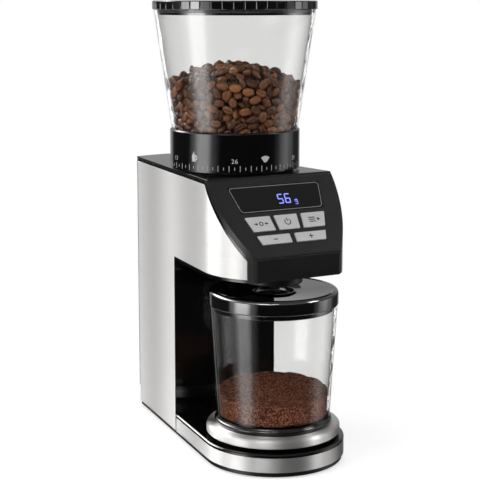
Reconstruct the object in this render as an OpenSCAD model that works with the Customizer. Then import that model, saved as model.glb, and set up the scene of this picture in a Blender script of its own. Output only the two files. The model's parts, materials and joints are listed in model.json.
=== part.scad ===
// Conical burr coffee grinder with a bean hopper, a grind scale ring, a sloping
// control panel and a jar that stands on a built-in scale.
//
// Frame: +X to the right as seen from the front, +Y to the back, +Z up. The burr
// and hopper axis is the Z axis, and z = 0 is the surface that the feet stand on.
// Sizes are in millimetres and angles in degrees.

/* [Body] */
// Depth from the front of the base to the back cover
body_depth = 259; // [252:1:276]
// Distance from the hopper axis forward to the jar axis
jar_reach = 68; // [66:1:72]
// Angle at which each side closes towards the back
side_taper = 7; // [5:0.5:8]
// Thickness of the brushed steel sheets
steel_t = 0.8; // [0.6:0.1:1.2]
// Wall of the plastic mouldings
wall = 2.4; // [2:0.1:2.8]
// Height of the head, from its underside to the deck
head_h = 81; // [78:1:90]
// Distance from the hopper axis back to the front of the column
column_set = 17.5; // [12:0.5:20]

/* [Base] */
// Height of the rubber feet
foot_h = 2.2; // [2:0.1:2.8]
// Radius of a rubber foot
foot_r = 8; // [6:0.5:9]
// Height of the bottom edge of the steel band
band_z = 5; // [4.6:0.2:6]
// Height of the steel band
band_h = 12.5; // [12:0.5:16]
// Height of the black lip above the steel band
lip_h = 3.1; // [2.8:0.1:4]

/* [Control panel] */
// Thickness of the control panel and the apron
front_t = 4; // [3:0.5:5]
// Height of the upright apron under the panel
apron_h = 20.5; // [18:0.5:24]
// Distance from the jar axis forward to the apron
apron_set = 42.3; // [41:0.1:43]
// Height of the groove between panel and apron
crease_gap = 2; // [1:0.2:3]
// Travel of a key
key_travel = 1.2; // [0.6:0.1:1.4]
// Height of a key above the panel
key_proud = 0.9; // [0.4:0.1:1.4]
// Clearance around a key
key_gap = 0.3; // [0.2:0.05:0.4]

/* [Grind ring] */
// How far the scale ring reaches past the adjusting ring inside it
collar_room = 5.3; // [4.6:0.1:8]
// Height of the grind scale ring
collar_h = 34.2; // [30:0.2:40]
// Gap between the deck and the ring
collar_lift = 1.7; // [1.4:0.1:2.2]

/* [Hopper] */
// Height of the clear hopper above the ring
hopper_h = 103.5; // [80:0.5:130]
// Outer radius of the hopper at its top
hopper_top_r = 71.1; // [66:0.1:76]
// Thickness of the hopper wall
hopper_wall = 3; // [2:0.1:3.2]
// Height of the lid above the hopper
lid_h = 7.6; // [6:0.1:10]
// Number of grooves around the lid
lid_grooves = 48; // [36:1:60]

/* [Jar] */
// Outer radius of the jar at its foot
jar_foot_r = 49; // [46:0.5:50]
// Outer radius of the jar at its mouth
jar_top_r = 55.2; // [52:0.2:55.6]
// Height of the clear jar
jar_h = 99.1; // [90:0.1:99.5]
// Thickness of the jar wall
jar_wall = 2.6; // [1.8:0.1:3]
// Radius of the filling hole in the jar lid
fill_r = 17; // [15.5:0.5:20]
// Height of the jar lid
jar_lid_h = 12.8; // [11:0.1:15]
// Free height between the jar lid and the head
jar_headroom = 15.1; // [13:0.1:40]

/* [Scale] */
// How far the platform reaches past the jar
platform_rim = 8.9; // [7:0.1:12]
// How far the base reaches past the platform
base_rim = 3.6; // [3:0.1:8]
// Height of the platform's steel cap
platform_h = 8.3; // [7.6:0.1:9]

/* [Burrs] */
// Radius of the cone burr at its base
cone_r = 19.6; // [18:0.2:20]
// Height of the cone burr
cone_h = 25; // [22:0.5:26]
// Number of fine teeth on each burr
burr_teeth = 36; // [24:1:48]
// How far the ring burr reaches past the cone burr
ring_wall = 6.4; // [6:0.1:8]
// How far the burr carrier reaches past the ring burr
carrier_wall = 7; // [6.6:0.1:9]
// Radial gap between the burrs at the present setting
burr_gap = 1.05; // [1:0.05:1.4]
// Angle between two settings of the grind ring
setting_step = 4.75; // [4:0.25:5]
// Height that the ring burr moves for each turn of the grind ring
carrier_lead = 4.7; // [3:0.1:5]

/* [Gears] */
// Gear module
gear_m = 1; // [0.95:0.05:1]
// Teeth on the two pinions
pinion_teeth = 18; // [18:1:19]
// Teeth on the idler wheel
idler_teeth = 46; // [44:1:46]
// Teeth on the burr shaft's wheel
main_teeth = 52; // [50:1:52]
// Radius of the motor's case
motor_r = 28; // [24:0.5:30]
// Height of the motor's case
motor_h = 84; // [60:1:90]

/* [Hidden] */
$fn = 96;

// Small amounts used throughout
over = 1;              // how far a cut runs past what it cuts
fit = 0.05;            // radial play between a shaft and its bore
play = 0.3;            // gap between parts that slide or turn past each other
snug = 0.1;            // gap between parts that are fixed together
edge = 0.02;           // keeps a flat side from being exactly tangent to a round front

// Jar and scale, from the base upwards, and the plan radii that follow from the jar
platform_r = jar_foot_r + platform_rim;
base_r = platform_r + base_rim;

// Heights
plate_z = 1;
plate_t = band_z - plate_z;
band_top = band_z + band_h;
base_top = band_top + lip_h;
base_roof = 2.5;
platform_z = base_top + 3;
platform_top = platform_z + platform_h;
jar_foot_z = platform_top + 0.2;
jar_z = jar_foot_z + 4.8;
jar_top = jar_z + jar_h;
jar_lid_z = jar_top + 0.1;
jar_lid_top = jar_lid_z + jar_lid_h;
head_z = jar_lid_top + jar_headroom;
crease_z = head_z + apron_h;
deck_z = head_z + head_h;
deck_t = 2;
deck_low = deck_z - deck_t;
collar_z = deck_z + collar_lift;
collar_top = collar_z + collar_h;
hopper_top = collar_top + hopper_h;
lid_top = hopper_top + lid_h;
floor_z = head_z + wall;

// Burrs, carrier, chamber, adjusting ring and scale ring, each around the one before
ring_r = cone_r + ring_wall;
carrier_r = ring_r + carrier_wall;
chamber_bore = carrier_r + 0.4;
chamber_r = chamber_bore + 4.1;
adjust_bore = chamber_r + 1.1;
adjust_r = adjust_bore + 7.4;
shoulder_r = adjust_r + 6;
collar_r = shoulder_r + collar_room;
throat_r = cone_r + 1.4;

// Plan of the body: a round front, two flat sides that close towards the back, and
// a back that follows a circle about the hopper axis
back_r = body_depth - jar_reach - base_r;
side_offset = base_r - jar_reach * sin(side_taper);
head_nose = -(jar_reach - 4);
base_nose = -jar_reach;
deck_front = -(collar_r + 4.1);
apron_y = -(jar_reach + apron_set);
column_y = column_set;
shell_inset = steel_t + snug;
cavity_inset = shell_inset + wall;
cover_y = back_r - 11;
sheet_end = back_r - 7.5;
sheet_rim = 2.4;

// Panel slope, measured from the horizontal
panel_slope = atan2(deck_z - crease_z, deck_front - apron_y);
panel_len = norm([deck_z - crease_z, deck_front - apron_y]);

// Keys and display on the panel. The upright edges fan out with the panel's sides.
fan_rate = 0.3 / 27;
key_edge = 27;
key_split = 9.2;
key_space = 3;
row_low = [12, 20.4];
row_high = [24.7, 38.5];
flange_out = 1.2;
flange_t = 1.4;
window_v = [42.5, 69];
window_low_x = 40.2;
window_high_x = 45.5;
window_t = 1.2;
window_ledge = 2;
board_t = 1.6;
board_depth = front_t + 6.6;
board_v = [3, 74];
board_x = 33;
module_x = 4;
module_w = 34;
module_v = [47, 64];
switch_w = 6;
key_names = ["tare", "power", "select", "minus", "plus"];
key_middle = 2;        // half the space between the two lower keys
key_spans = [[-key_edge, -key_split - key_space / 2],
             [-key_split + key_space / 2, key_split - key_space / 2],
             [key_split + key_space / 2, key_edge], [-key_edge, -key_middle],
             [key_middle, key_edge]];
key_rows = [row_high, row_high, row_high, row_low, row_low];

// Hopper and scale ring
neck_r = 21.5;
neck_wall = 2.2;
neck_z = deck_z - 3.5;
hopper_base_r = collar_r - 1.4;
collar_wall = 2.7;
collar_bore = collar_r - collar_wall;
flange_z = collar_z + 0.5;
flange_h = 2.5;
tab_w = 8;
tab_count = 3;
lid_r = hopper_top_r + 1.2;
skirt_r = hopper_top_r - hopper_wall - 1.3;
skirt_wall = 2;
skirt_z = hopper_top - 4.6;
groove_r = 0.9;

// Adjusting ring and the chamber below it
shoulder_t = 1.5;
adjust_z = deck_z - 8.4;
adjust_top = deck_z + 5;
chamber_top = adjust_z - 0.2;
chamber_flange_r = adjust_r + 2;
chamber_flange_t = 3;
key_rib_w = 6;
key_rib_out = 2;
rib_room = 0.4;

// Gear train, in line from the burr shaft back to the motor
gear_y1 = gear_m * (main_teeth + pinion_teeth) / 2;
gear_y2 = gear_y1 + gear_m * (idler_teeth + pinion_teeth) / 2;
cover_t = 3;
cover_top = floor_z + cover_t;
wheel_z = cover_top + 2.6;
wheel_t = 4;
main_z = wheel_z + wheel_t + 1;
main_t = 5.4;
gearbox_roof_z = main_z + main_t + 1;
gearbox_roof_t = 3;
gearbox_top = gearbox_roof_z + gearbox_roof_t;
gear_room = 1.5;
shaft_r = 4;
pin_r = 3;
motor_shaft_r = 2.5;
bearing_r = 8;
bearing_h = 4.4;
boss_r = 10.5;
boss_low_top = wheel_z - 0.5;
tooth_play = 0.18;

// Burr stack
chamber_floor_t = 3.4;
chamber_floor_top = gearbox_top + chamber_floor_t;
boss_high_top = chamber_floor_top - 0.2;
sweeper_z = chamber_floor_top + 0.6;
sweeper_t = 2;
vane_h = 3.8;
vane_half = 1.2;
vane_count = 4;
cone_z = sweeper_z + sweeper_t + 0.1;
settings_finer = 25;
settings_coarser = 13;
carrier_down = settings_finer * setting_step / 360 * carrier_lead;
carrier_up = settings_coarser * setting_step / 360 * carrier_lead;
carrier_z = sweeper_z + sweeper_t + vane_h + carrier_down + 0.4;
ring_h = 18;
cone_tip_r = 7.5;
cone_slope = (cone_r - cone_tip_r) / cone_h;
ring_low_r = cone_r - cone_slope * (carrier_z - cone_z) + burr_gap;
ring_high_r = ring_low_r + 3.4;
tooth_depth = 1.1;
carrier_collar_z = chamber_top + 0.2;
carrier_top = neck_z - carrier_up - 0.7;
screw_ring_r = ring_r - 2.3;
seal_z = carrier_collar_z - 9;
seal_t = 2.4;
seal_depth = 1.6;

// Outlet
outlet_w = 22;
outlet_wall = 2;
outlet_top = chamber_floor_top + 8.6;
spout_r = 14;
spout_bore = 12;
spout_z = head_z - 6.5;
hood_r = 25;
hood_h = 9.5;
hood_wall = 1.8;
chute_base = spout_r + 0.6;

// Motor
motor_top = floor_z - 8;
motor_low = motor_top - motor_h;
mount_t = 3;
damper_r = 4;
mount_x = 20;
mount_span = 17;
mount_rim = 6;
motor_nose_r = 7;
motor_nose_h = 1.5;

// Jar and scale
jar_floor = 2.2;
jar_plug = 4.6;        // how far the lid reaches into the jar
jar_lid_r = jar_top_r + 0.6;
cell_z = band_z + 3.2;
cell_h = 8;
cell_w = 12;
cell_len = 75;
cell_seat = 18;
cell_screw_y = cell_len - jar_reach - 17;
hub_r = 8;

// Fasteners and bosses
screw_r = 1.5;
screw_head_r = 3;
screw_head_h = 1.8;
base_screw_len = 12;
column_screw_len = 13;
boss_wall = 3.2;
boss_h = 14;
post_wall = 2.6;

// ---- Shapes that several parts share ----

// Half width of the body at y, moved in by inset
function side_x(y, inset) = (side_offset - inset - y * sin(side_taper)) / cos(side_taper);

// Radius of the round front whose centre is at y = nose
function front_r(nose) = side_offset - nose * sin(side_taper);

// The same place on both sides, at y and moved in from the side
function pair(y, inset) = [for (s = [-1, 1]) [s * side_x(y, inset), y]];

// The same place on both sides, at [x, y]
function twin(x, y) = [[-x, y], [x, y]];

// Plan outline of the body
module outline(nose, inset = 0, back_inset = 0) {
    r = front_r(nose) - inset;
    y_front = nose + r * sin(side_taper);
    y_back = back_r + over;
    x_front = side_x(y_front, inset + edge);
    x_back = side_x(y_back, inset + edge);
    intersection() {
        union() {
            translate([0, nose]) circle(r);
            polygon([[-x_front, y_front], [x_front, y_front], [x_back, y_back], [-x_back, y_back]]);
        }
        union() {
            circle(back_r - back_inset);
            translate([-body_depth, -body_depth]) square([2 * body_depth, body_depth]);
        }
    }
}

module prism(nose, z0, z1, inset = 0, back_inset = 0) {
    translate([0, 0, z0]) linear_extrude(z1 - z0) outline(nose, inset, back_inset);
}

// A side view given as [y, z] points, extruded across the body
module across(points, width = 2 * body_depth) {
    rotate([90, 0, 90]) linear_extrude(width, center = true) polygon(points);
}

// A box from its low corner to its high corner
module block(low, high) {
    translate(low) cube(high - low);
}

// A cylinder from z0 to z1 about an upright axis at [x, y]
module post(at, z0, z1, r) {
    translate([at[0], at[1], z0]) cylinder(h = z1 - z0, r = r);
}

// A ring about an upright axis
module ring(z0, z1, r, bore) {
    difference() {
        post([0, 0], z0, z1, r);
        post([0, 0], z0 - over, z1 + over, bore);
    }
}

// Points of an arc in a revolved section
function arc(r, z, rad, a0, a1, n = 6) =
    [for (i = [0 : n]) let (a = a0 + (a1 - a0) * i / n) [r + rad * cos(a), z + rad * sin(a)]];

// A screw that points up, with its head at the bottom
module screw_up(at, z, length) {
    post(at, z, z + screw_head_h, screw_head_r);
    post(at, z, z + length, screw_r);
}

// y of the sloping front at height z, and height of its lower corner, both moved
// back by t
function slope_y(z, t) = apron_y + (z - crease_z) / tan(panel_slope) + t / sin(panel_slope);
function crease_at(t) = crease_z + (t - t / sin(panel_slope)) * tan(panel_slope);

// Side view of column and head. t sets back the sloping front, low and high are
// its ends, and under is the underside of the head.
function side_view(t, low, high, under, front) =
    [[slope_y(high, t), high], [apron_y + t, crease_at(t)], [apron_y + t, under],
     [front, under], [front, low], [body_depth, low], [body_depth, high]];

// Places things on the panel: x across, y up the slope, z out of the panel
module on_panel() {
    translate([0, apron_y, crease_z]) rotate([panel_slope, 0, 0]) children();
}

// x of a fanned edge at distance v up the panel
function fan(x, v) = x * (1 + fan_rate * v);

// A fanned four-sided shape, grown by g
module fan_shape(span, row, g = 0) {
    v0 = row[0] - g;
    v1 = row[1] + g;
    polygon([[fan(span[0], v0) - g, v0], [fan(span[1], v0) + g, v0],
             [fan(span[1], v1) + g, v1], [fan(span[0], v1) - g, v1]]);
}

module panel_slab(z0, z1) {
    translate([0, 0, z0]) linear_extrude(z1 - z0) children();
}

module window_shape(g = 0) {
    polygon([[-window_low_x - g, window_v[0] - g], [window_low_x + g, window_v[0] - g],
             [window_high_x + g, window_v[1] + g], [-window_high_x - g, window_v[1] + g]]);
}

// Involute gear
function involute(r, base) = tan(acos(base / r)) * 180 / PI - acos(base / r);
function flank(n, r) =
    let (pitch = gear_m * n / 2, base = pitch * cos(20), at = max(r, base))
    90 / n - tooth_play / (2 * pitch) * 180 / PI + involute(pitch, base) - involute(at, base);
function gear_points(n) =
    let (pitch = gear_m * n / 2, root = pitch - 1.25 * gear_m, tip = pitch + 0.95 * gear_m,
         low = max(root + 0.05, pitch * cos(20)))
    [for (i = [0 : n - 1]) let (c = 360 * i / n)
        each [for (p = [[root, -flank(n, low)], [low, -flank(n, low)], [pitch, -flank(n, pitch)],
                        [tip, -flank(n, tip)], [tip, flank(n, tip)], [pitch, flank(n, pitch)],
                        [low, flank(n, low)], [root, flank(n, low)]])
            [p[0] * cos(c + p[1]), p[0] * sin(c + p[1])]]];

module gear(n, z0, z1, turn) {
    translate([0, 0, z0]) rotate(turn) linear_extrude(z1 - z0) polygon(gear_points(n));
}

// A star with n teeth between two radii
module star(n, tip, root) {
    polygon([for (i = [0 : n - 1]) each
        [tip * [cos(360 * i / n), sin(360 * i / n)],
         root * [cos(360 * (i + 0.75) / n), sin(360 * (i + 0.75) / n)]]]);
}

// Places of screws, bosses, posts and feet
nose_screw_in = 11.5;          // from the base's round front
base_screw_y = [6, back_r - 17.5];
base_screw_in = [6.8, 11.8];   // from the sides, as they close towards the back
column_boss_y = [column_y + 12.5, cover_y - 12.5];
column_boss_in = [7.9, 7.5];
base_screw_at = concat([[0, nose_screw_in - jar_reach - base_r]],
                       twin(base_r - nose_screw_in, -jar_reach - 8),
                       pair(base_screw_y[0], base_screw_in[0]),
                       pair(base_screw_y[1], base_screw_in[1]));
column_boss_at = concat(pair(column_boss_y[0], column_boss_in[0]),
                        pair(column_boss_y[1], column_boss_in[1]));
board_y = [column_boss_y[0] + 4, column_boss_y[1] - 2];
board_side = column_boss_at[3][0] - screw_r - 3.5;
board_post_in = [6, 8];
board_post_at = concat(twin(board_side - board_post_in[0], board_y[0] + board_post_in[1]),
                       twin(board_side - board_post_in[0], board_y[1] - board_post_in[1]));
front_foot = [36, -jar_reach - 28];
back_foot_y = back_r - 31.5;
back_foot_in = 13.5;
foot_at = concat(twin(front_foot[0], front_foot[1]), pair(back_foot_y, back_foot_in));
gearbox_r = gear_m * (main_teeth / 2 + 1) + gear_room + wall;
gearbox_screw_at = concat(twin(22, 1.2 - gearbox_r - 2.3), twin(gearbox_r + 5.1, 8));
gland_hole_r = 6.6;
gland_flange_r = 8.7;
gland_seat = 1.8;              // how deep the gland's flange lies in the cover
gland_z = base_top + 15;

// ---- Base ----

module rubber_feet() {
    color([0.08, 0.08, 0.08]) for (p = foot_at) post(p, 0, foot_h, foot_r);
}

module base_plate() {
    color([0.06, 0.06, 0.06]) difference() {
        union() {
            prism(base_nose, plate_z, band_z, 1.6, 1.6);
            block([-cell_w / 2, cell_screw_y - cell_seat / 2, band_z - over],
                  [cell_w / 2, cell_screw_y + cell_seat / 2, cell_z]);
        }
        for (p = foot_at) post(p, plate_z - over, foot_h, foot_r + snug);
        for (p = base_screw_at) {
            post(p, plate_z - over, plate_z + screw_head_h, screw_head_r + snug);
            post(p, plate_z - over, band_z + over, screw_r + snug);
        }
        post([0, cell_screw_y], plate_z - over, cell_z + over, screw_r + snug);
    }
}

module base_screws() {
    color("silver") for (p = base_screw_at) screw_up(p, plate_z, base_screw_len);
}

module base_shell() {
    color([0.05, 0.05, 0.05]) difference() {
        union() {
            difference() {
                prism(base_nose, band_z, base_top - 1, shell_inset, shell_inset);
                prism(base_nose, band_z - over, base_top - base_roof, cavity_inset, cavity_inset);
            }
            base_lip();
            for (p = base_screw_at) post(p, band_z, base_top - base_roof + over, screw_r + post_wall);
        }
        for (p = base_screw_at) post(p, band_z - over, plate_z + base_screw_len + over, screw_r + snug);
        for (p = column_boss_at) post(p, band_z, base_top + over, screw_r + snug);
        post([0, -jar_reach], band_z, base_top + over, hub_r + 2);
    }
}

// Top of the base, with its chamfered lip in front of the column
module base_lip() {
    chamfer = 1.2;
    intersection() {
        hull() {
            prism(base_nose, band_top, base_top - chamfer);
            prism(base_nose, base_top - edge, base_top, chamfer);
        }
        block([-body_depth, -body_depth, 0], [body_depth, column_y - snug, base_top + over]);
    }
    prism(base_nose, base_top - base_roof, base_top, shell_inset, shell_inset);
}

module base_band() {
    color([0.78, 0.77, 0.75]) intersection() {
        difference() {
            prism(base_nose, band_z, band_top - snug);
            prism(base_nose, band_z - over, band_top + over, steel_t);
        }
        block([-body_depth, -body_depth, 0], [body_depth, column_y - snug, band_top]);
    }
}

// ---- Body ----

// Side view of the steel sheets, grown by g
module sheet_area(g = 0) {
    rim = sheet_rim - g;
    across(side_view(front_t + rim, head_z, deck_low - rim, head_z + rim, column_y + rim));
    block([-body_depth, column_y + rim, band_z - g], [body_depth, sheet_end + g, deck_low - rim]);
}

// The layer at the body's surface that a steel sheet takes up, with thickness t
module sheet_layer(t, g = 0) {
    intersection() {
        difference() {
            prism(head_nose, band_z, deck_z);
            prism(head_nose, band_z - over, deck_z + over, t);
        }
        sheet_area(g);
        block([-body_depth, -body_depth, 0], [body_depth, sheet_end + g, deck_z]);
    }
}

// Black moulding of column and head, with a pocket for the steel sheet on each side
module housing() {
    color([0.05, 0.05, 0.05]) difference() {
        intersection() {
            prism(head_nose, base_top, deck_low);
            across(side_view(front_t + snug, base_top, deck_low, head_z, column_y));
        }
        sheet_layer(shell_inset, snug);
        difference() {
            prism(head_nose, base_top - over, deck_z, cavity_inset, 0);
            block([-body_depth, -body_depth, -over], [body_depth, column_y + wall, floor_z]);
            for (p = column_boss_at) post(p, base_top, base_top + boss_h, screw_r + boss_wall);
        }
        block([-body_depth, cover_y, 0], [body_depth, body_depth, deck_z]);
        for (p = column_boss_at) post(p, base_top - over, base_top + 12, screw_r + snug);
        for (p = gearbox_screw_at) post(p, head_z + 0.4, floor_z + over, screw_r + snug);
        post([0, -jar_reach], head_z - over, floor_z + over, spout_r + play);
    }
}

module housing_screws() {
    color("silver") for (p = column_boss_at) screw_up(p, base_top - base_roof - screw_head_h,
                                                         column_screw_len);
}

// Steel sheet on the side where x has the sign of side
module side_panel(side) {
    color([0.78, 0.77, 0.75]) intersection() {
        sheet_layer(steel_t);
        scale([side, 1, 1]) block([0, -body_depth, 0], [body_depth, body_depth, deck_z]);
    }
}

module side_panel_left() { side_panel(-1); }
module side_panel_right() { side_panel(1); }

module rear_cover() {
    slot_count = 9;
    slot_pitch = 7;
    slot_h = 2.6;
    slot_half = 24;
    slot_z = base_top + 42;
    color([0.06, 0.06, 0.06]) difference() {
        intersection() {
            difference() {
                prism(head_nose, base_top, deck_low);
                prism(head_nose, base_top - over, deck_low + over, cavity_inset, wall);
            }
            block([-body_depth, cover_y + snug, 0], [body_depth, body_depth, deck_z]);
        }
        sheet_layer(shell_inset, snug);
        for (i = [0 : slot_count - 1])
            block([-slot_half, cover_y + wall, slot_z + i * slot_pitch],
                  [slot_half, body_depth, slot_z + i * slot_pitch + slot_h]);
        translate([0, 0, gland_z]) rotate([-90, 0, 0]) {
            cylinder(h = body_depth, r = gland_hole_r);
            translate([0, 0, back_r - gland_seat]) cylinder(h = body_depth, r = gland_flange_r + play);
        }
    }
}

module cord_gland() {
    color([0.1, 0.1, 0.1]) translate([0, 0, gland_z]) rotate([-90, 0, 0]) difference() {
        union() {
            translate([0, 0, back_r - gland_seat]) cylinder(h = 1.4, r = gland_flange_r);
            translate([0, 0, back_r - 18]) cylinder(h = 17, r = gland_hole_r - snug);
            translate([0, 0, back_r - 5]) cylinder(h = 2, r = 8);
        }
        cylinder(h = body_depth, r = 3.6);
    }
}

module top_deck() {
    color([0.03, 0.03, 0.03]) difference() {
        intersection() {
            prism(head_nose, deck_low, deck_z);
            across([[slope_y(deck_low, 0), deck_low], [slope_y(deck_z, 0), deck_z],
                    [body_depth, deck_z], [body_depth, deck_low]]);
        }
        post([0, 0], deck_low - over, deck_z + over, adjust_r + 0.4);
    }
}

module front_apron() {
    tongue = front_t / 2;
    color([0.12, 0.12, 0.12]) intersection() {
        prism(head_nose, head_z, deck_z);
        across([[apron_y, crease_z - crease_gap], [apron_y, head_z], [apron_y + front_t, head_z],
                [apron_y + front_t, crease_at(front_t) - snug],
                [apron_y + tongue, crease_at(tongue) - snug],
                [apron_y + tongue, crease_z - crease_gap]]);
    }
}

module control_panel() {
    color([0.14, 0.14, 0.14]) difference() {
        intersection() {
            prism(head_nose, head_z, deck_low - edge);
            across([[apron_y, crease_z], [apron_y + front_t, crease_at(front_t)],
                    [slope_y(deck_z, front_t), deck_z], [slope_y(deck_z, 0), deck_z]]);
        }
        on_panel() {
            for (i = [0 : len(key_names) - 1])
                panel_slab(-front_t - over, over) fan_shape(key_spans[i], key_rows[i], key_gap);
            panel_slab(-window_t, over) window_shape(snug);
            panel_slab(-front_t - over, 0) window_shape(-window_ledge);
        }
    }
}

module display_window() {
    color([0.08, 0.08, 0.1]) on_panel() panel_slab(-window_t, 0) window_shape();
}

module display_module() {
    color([0.15, 0.15, 0.18]) on_panel()
        block([module_x - module_w / 2, module_v[0], -board_depth],
              [module_x + module_w / 2, module_v[1], -window_t - play]);
}

module control_board() {
    color([0.1, 0.35, 0.2]) on_panel() {
        block([-board_x, board_v[0], -board_depth - board_t], [board_x, board_v[1], -board_depth]);
        for (x = [-1, 1], v = board_v + [3, -3])
            panel_slab(-board_depth, -front_t) translate([x * (board_x - 2), v]) circle(2.2);
    }
}

module key_switches() {
    low = -board_depth;
    high = -front_t - play - flange_t - key_travel - 0.2;
    color([0.75, 0.75, 0.72]) on_panel() for (i = [0 : len(key_names) - 1]) {
        v = (key_rows[i][0] + key_rows[i][1]) / 2;
        x = fan((key_spans[i][0] + key_spans[i][1]) / 2, v);
        half = switch_w / 2;
        block([x - half, v - half, low], [x + half, v + half, high - 0.8]);
        panel_slab(low, high) translate([x, v]) circle(1.75);
    }
}

// A key's cap passes through the panel, and its flange stays behind it
module key(i) {
    color([0.72, 0.72, 0.71]) on_panel() {
        panel_slab(-front_t - play - flange_t / 2, key_proud) fan_shape(key_spans[i], key_rows[i]);
        panel_slab(-front_t - play - flange_t, -front_t - play)
            fan_shape(key_spans[i], key_rows[i], flange_out);
    }
}

module key_tare() { key(0); }
module key_power() { key(1); }
module key_select() { key(2); }
module key_minus() { key(3); }
module key_plus() { key(4); }

// ---- Hopper ----

module hopper_lid() {
    low = hopper_top + 0.2;
    bevel = 0.9;
    dish = 1.4;
    roof = 2.4;
    color([0.04, 0.04, 0.04]) difference() {
        intersection() {
            rotate_extrude() polygon([
                [0, lid_top - dish], [lid_r - 7, lid_top - dish], [lid_r - 5.5, lid_top],
                [lid_r - bevel, lid_top], [lid_r, lid_top - bevel], [lid_r, low + 0.4],
                [lid_r - 0.4, low], [skirt_r, low], [skirt_r, skirt_z + 4.2],
                [skirt_r - 0.8, skirt_z + 4.2], [skirt_r - 0.8, skirt_z + 1.8],
                [skirt_r, skirt_z + 1.8], [skirt_r, skirt_z], [skirt_r - skirt_wall, skirt_z],
                [skirt_r - skirt_wall, lid_top - dish - roof], [0, lid_top - dish - roof]]);
            translate([0, 0, skirt_z - over]) linear_extrude(lid_top) polygon([
                for (i = [0 : lid_grooves - 1]) let (a = i * 360 / lid_grooves)
                    lid_r * [cos(a), sin(a)]]);
        }
        for (i = [0 : lid_grooves - 1]) rotate(i * 360 / lid_grooves)
            post([lid_r + groove_r * 0.45, 0], low - over, lid_top + over, groove_r);
    }
}

module lid_seal() {
    color([0.25, 0.25, 0.25]) ring(skirt_z + 1.9, skirt_z + 4.1, skirt_r + 0.4, skirt_r - 0.7);
}

module hopper() {
    inner_top = hopper_top_r - hopper_wall;
    inner_low = hopper_base_r - hopper_wall;
    tube_r = collar_bore - play;
    funnel_z = collar_top - 6;
    color([0.85, 0.85, 0.84, 0.35]) rotate_extrude() polygon([
        [hopper_top_r, hopper_top], [hopper_base_r, collar_top], [tube_r, collar_top],
        [tube_r, funnel_z], [tube_r - 2, funnel_z - 3], [neck_r, neck_z + 10.5], [neck_r, neck_z],
        [neck_r - neck_wall, neck_z], [neck_r - neck_wall, neck_z + 11.7],
        [inner_low - 2, funnel_z + 0.8], [inner_low, collar_top], [inner_top, hopper_top]]);
}

module hopper_collar() {
    bevel = 1;
    color([0.05, 0.05, 0.05]) {
        rotate_extrude() polygon([
            [collar_r, collar_z], [collar_r, collar_top - bevel], [collar_r - bevel, collar_top],
            [collar_bore, collar_top], [collar_bore, flange_z + flange_h],
            [adjust_r + 0.6, flange_z + flange_h], [adjust_r + 0.6, flange_z],
            [collar_bore + 0.3, flange_z], [collar_bore + 0.3, collar_z]]);
        intersection() {
            ring(flange_z + 0.2, flange_z + flange_h - 0.2, adjust_r + over, adjust_r - 1.4);
            for (i = [0 : tab_count - 1]) rotate(i * 360 / tab_count)
                block([0, -tab_w / 2, 0], [collar_r, tab_w / 2, lid_top]);
        }
    }
}

// ---- Grinding parts ----

module adjusting_ring() {
    color([0.3, 0.3, 0.3]) difference() {
        union() {
            ring(adjust_z, adjust_top, adjust_r, adjust_bore);
            ring(deck_z + 0.5, deck_z + 0.5 + shoulder_t, shoulder_r, adjust_bore);
        }
        for (i = [0 : tab_count - 1]) rotate(i * 360 / tab_count)
            block([adjust_r - 1.8, -tab_w / 2 - play, flange_z - 0.1],
                  [collar_r, tab_w / 2 + play, lid_top]);
    }
}

module burr_carrier() {
    color([0.55, 0.55, 0.57]) difference() {
        union() {
            post([0, 0], carrier_z, carrier_collar_z + edge, carrier_r);
            post([0, 0], carrier_collar_z, carrier_top, adjust_bore - play);
            for (i = [0 : 2]) rotate(60 + i * 120)
                block([throat_r + 5, -key_rib_w / 2, carrier_z + 4],
                      [carrier_r + key_rib_out, key_rib_w / 2, seal_z - 2]);
        }
        post([0, 0], carrier_z - over, carrier_z + ring_h + 0.2, ring_r + snug);
        translate([0, 0, carrier_z])
            cylinder(h = carrier_top - carrier_z + edge, r1 = throat_r - 1, r2 = throat_r + 3);
        ring(seal_z, seal_z + seal_t, carrier_r + over, carrier_r - seal_depth);
        for (i = [0 : 2]) rotate(i * 120)
            post([screw_ring_r, 0], carrier_z, carrier_z + ring_h + 6, screw_r + snug);
    }
}

module carrier_seal() {
    color([0.8, 0.78, 0.7])
        ring(seal_z + snug, seal_z + seal_t - snug, chamber_bore - snug, carrier_r - seal_depth + snug);
}

module ring_burr() {
    color([0.62, 0.62, 0.63]) difference() {
        post([0, 0], carrier_z, carrier_z + ring_h, ring_r);
        translate([0, 0, carrier_z - edge])
            linear_extrude(ring_h + 2 * edge, twist = 20, scale = ring_high_r / ring_low_r, slices = 10)
                star(burr_teeth, ring_low_r + tooth_depth, ring_low_r);
        for (i = [0 : 2]) rotate(i * 120) {
            post([screw_ring_r, 0], carrier_z - over, carrier_z + ring_h + over, screw_r + snug);
            post([screw_ring_r, 0], carrier_z - over, carrier_z + 1.6, 2.2);
        }
    }
}

module ring_burr_screws() {
    color("silver") for (i = [0 : 2]) rotate(i * 120) {
        post([screw_ring_r, 0], carrier_z, carrier_z + ring_h + 5, screw_r);
        post([screw_ring_r, 0], carrier_z, carrier_z + 1.5, 2.1);
    }
}

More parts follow.
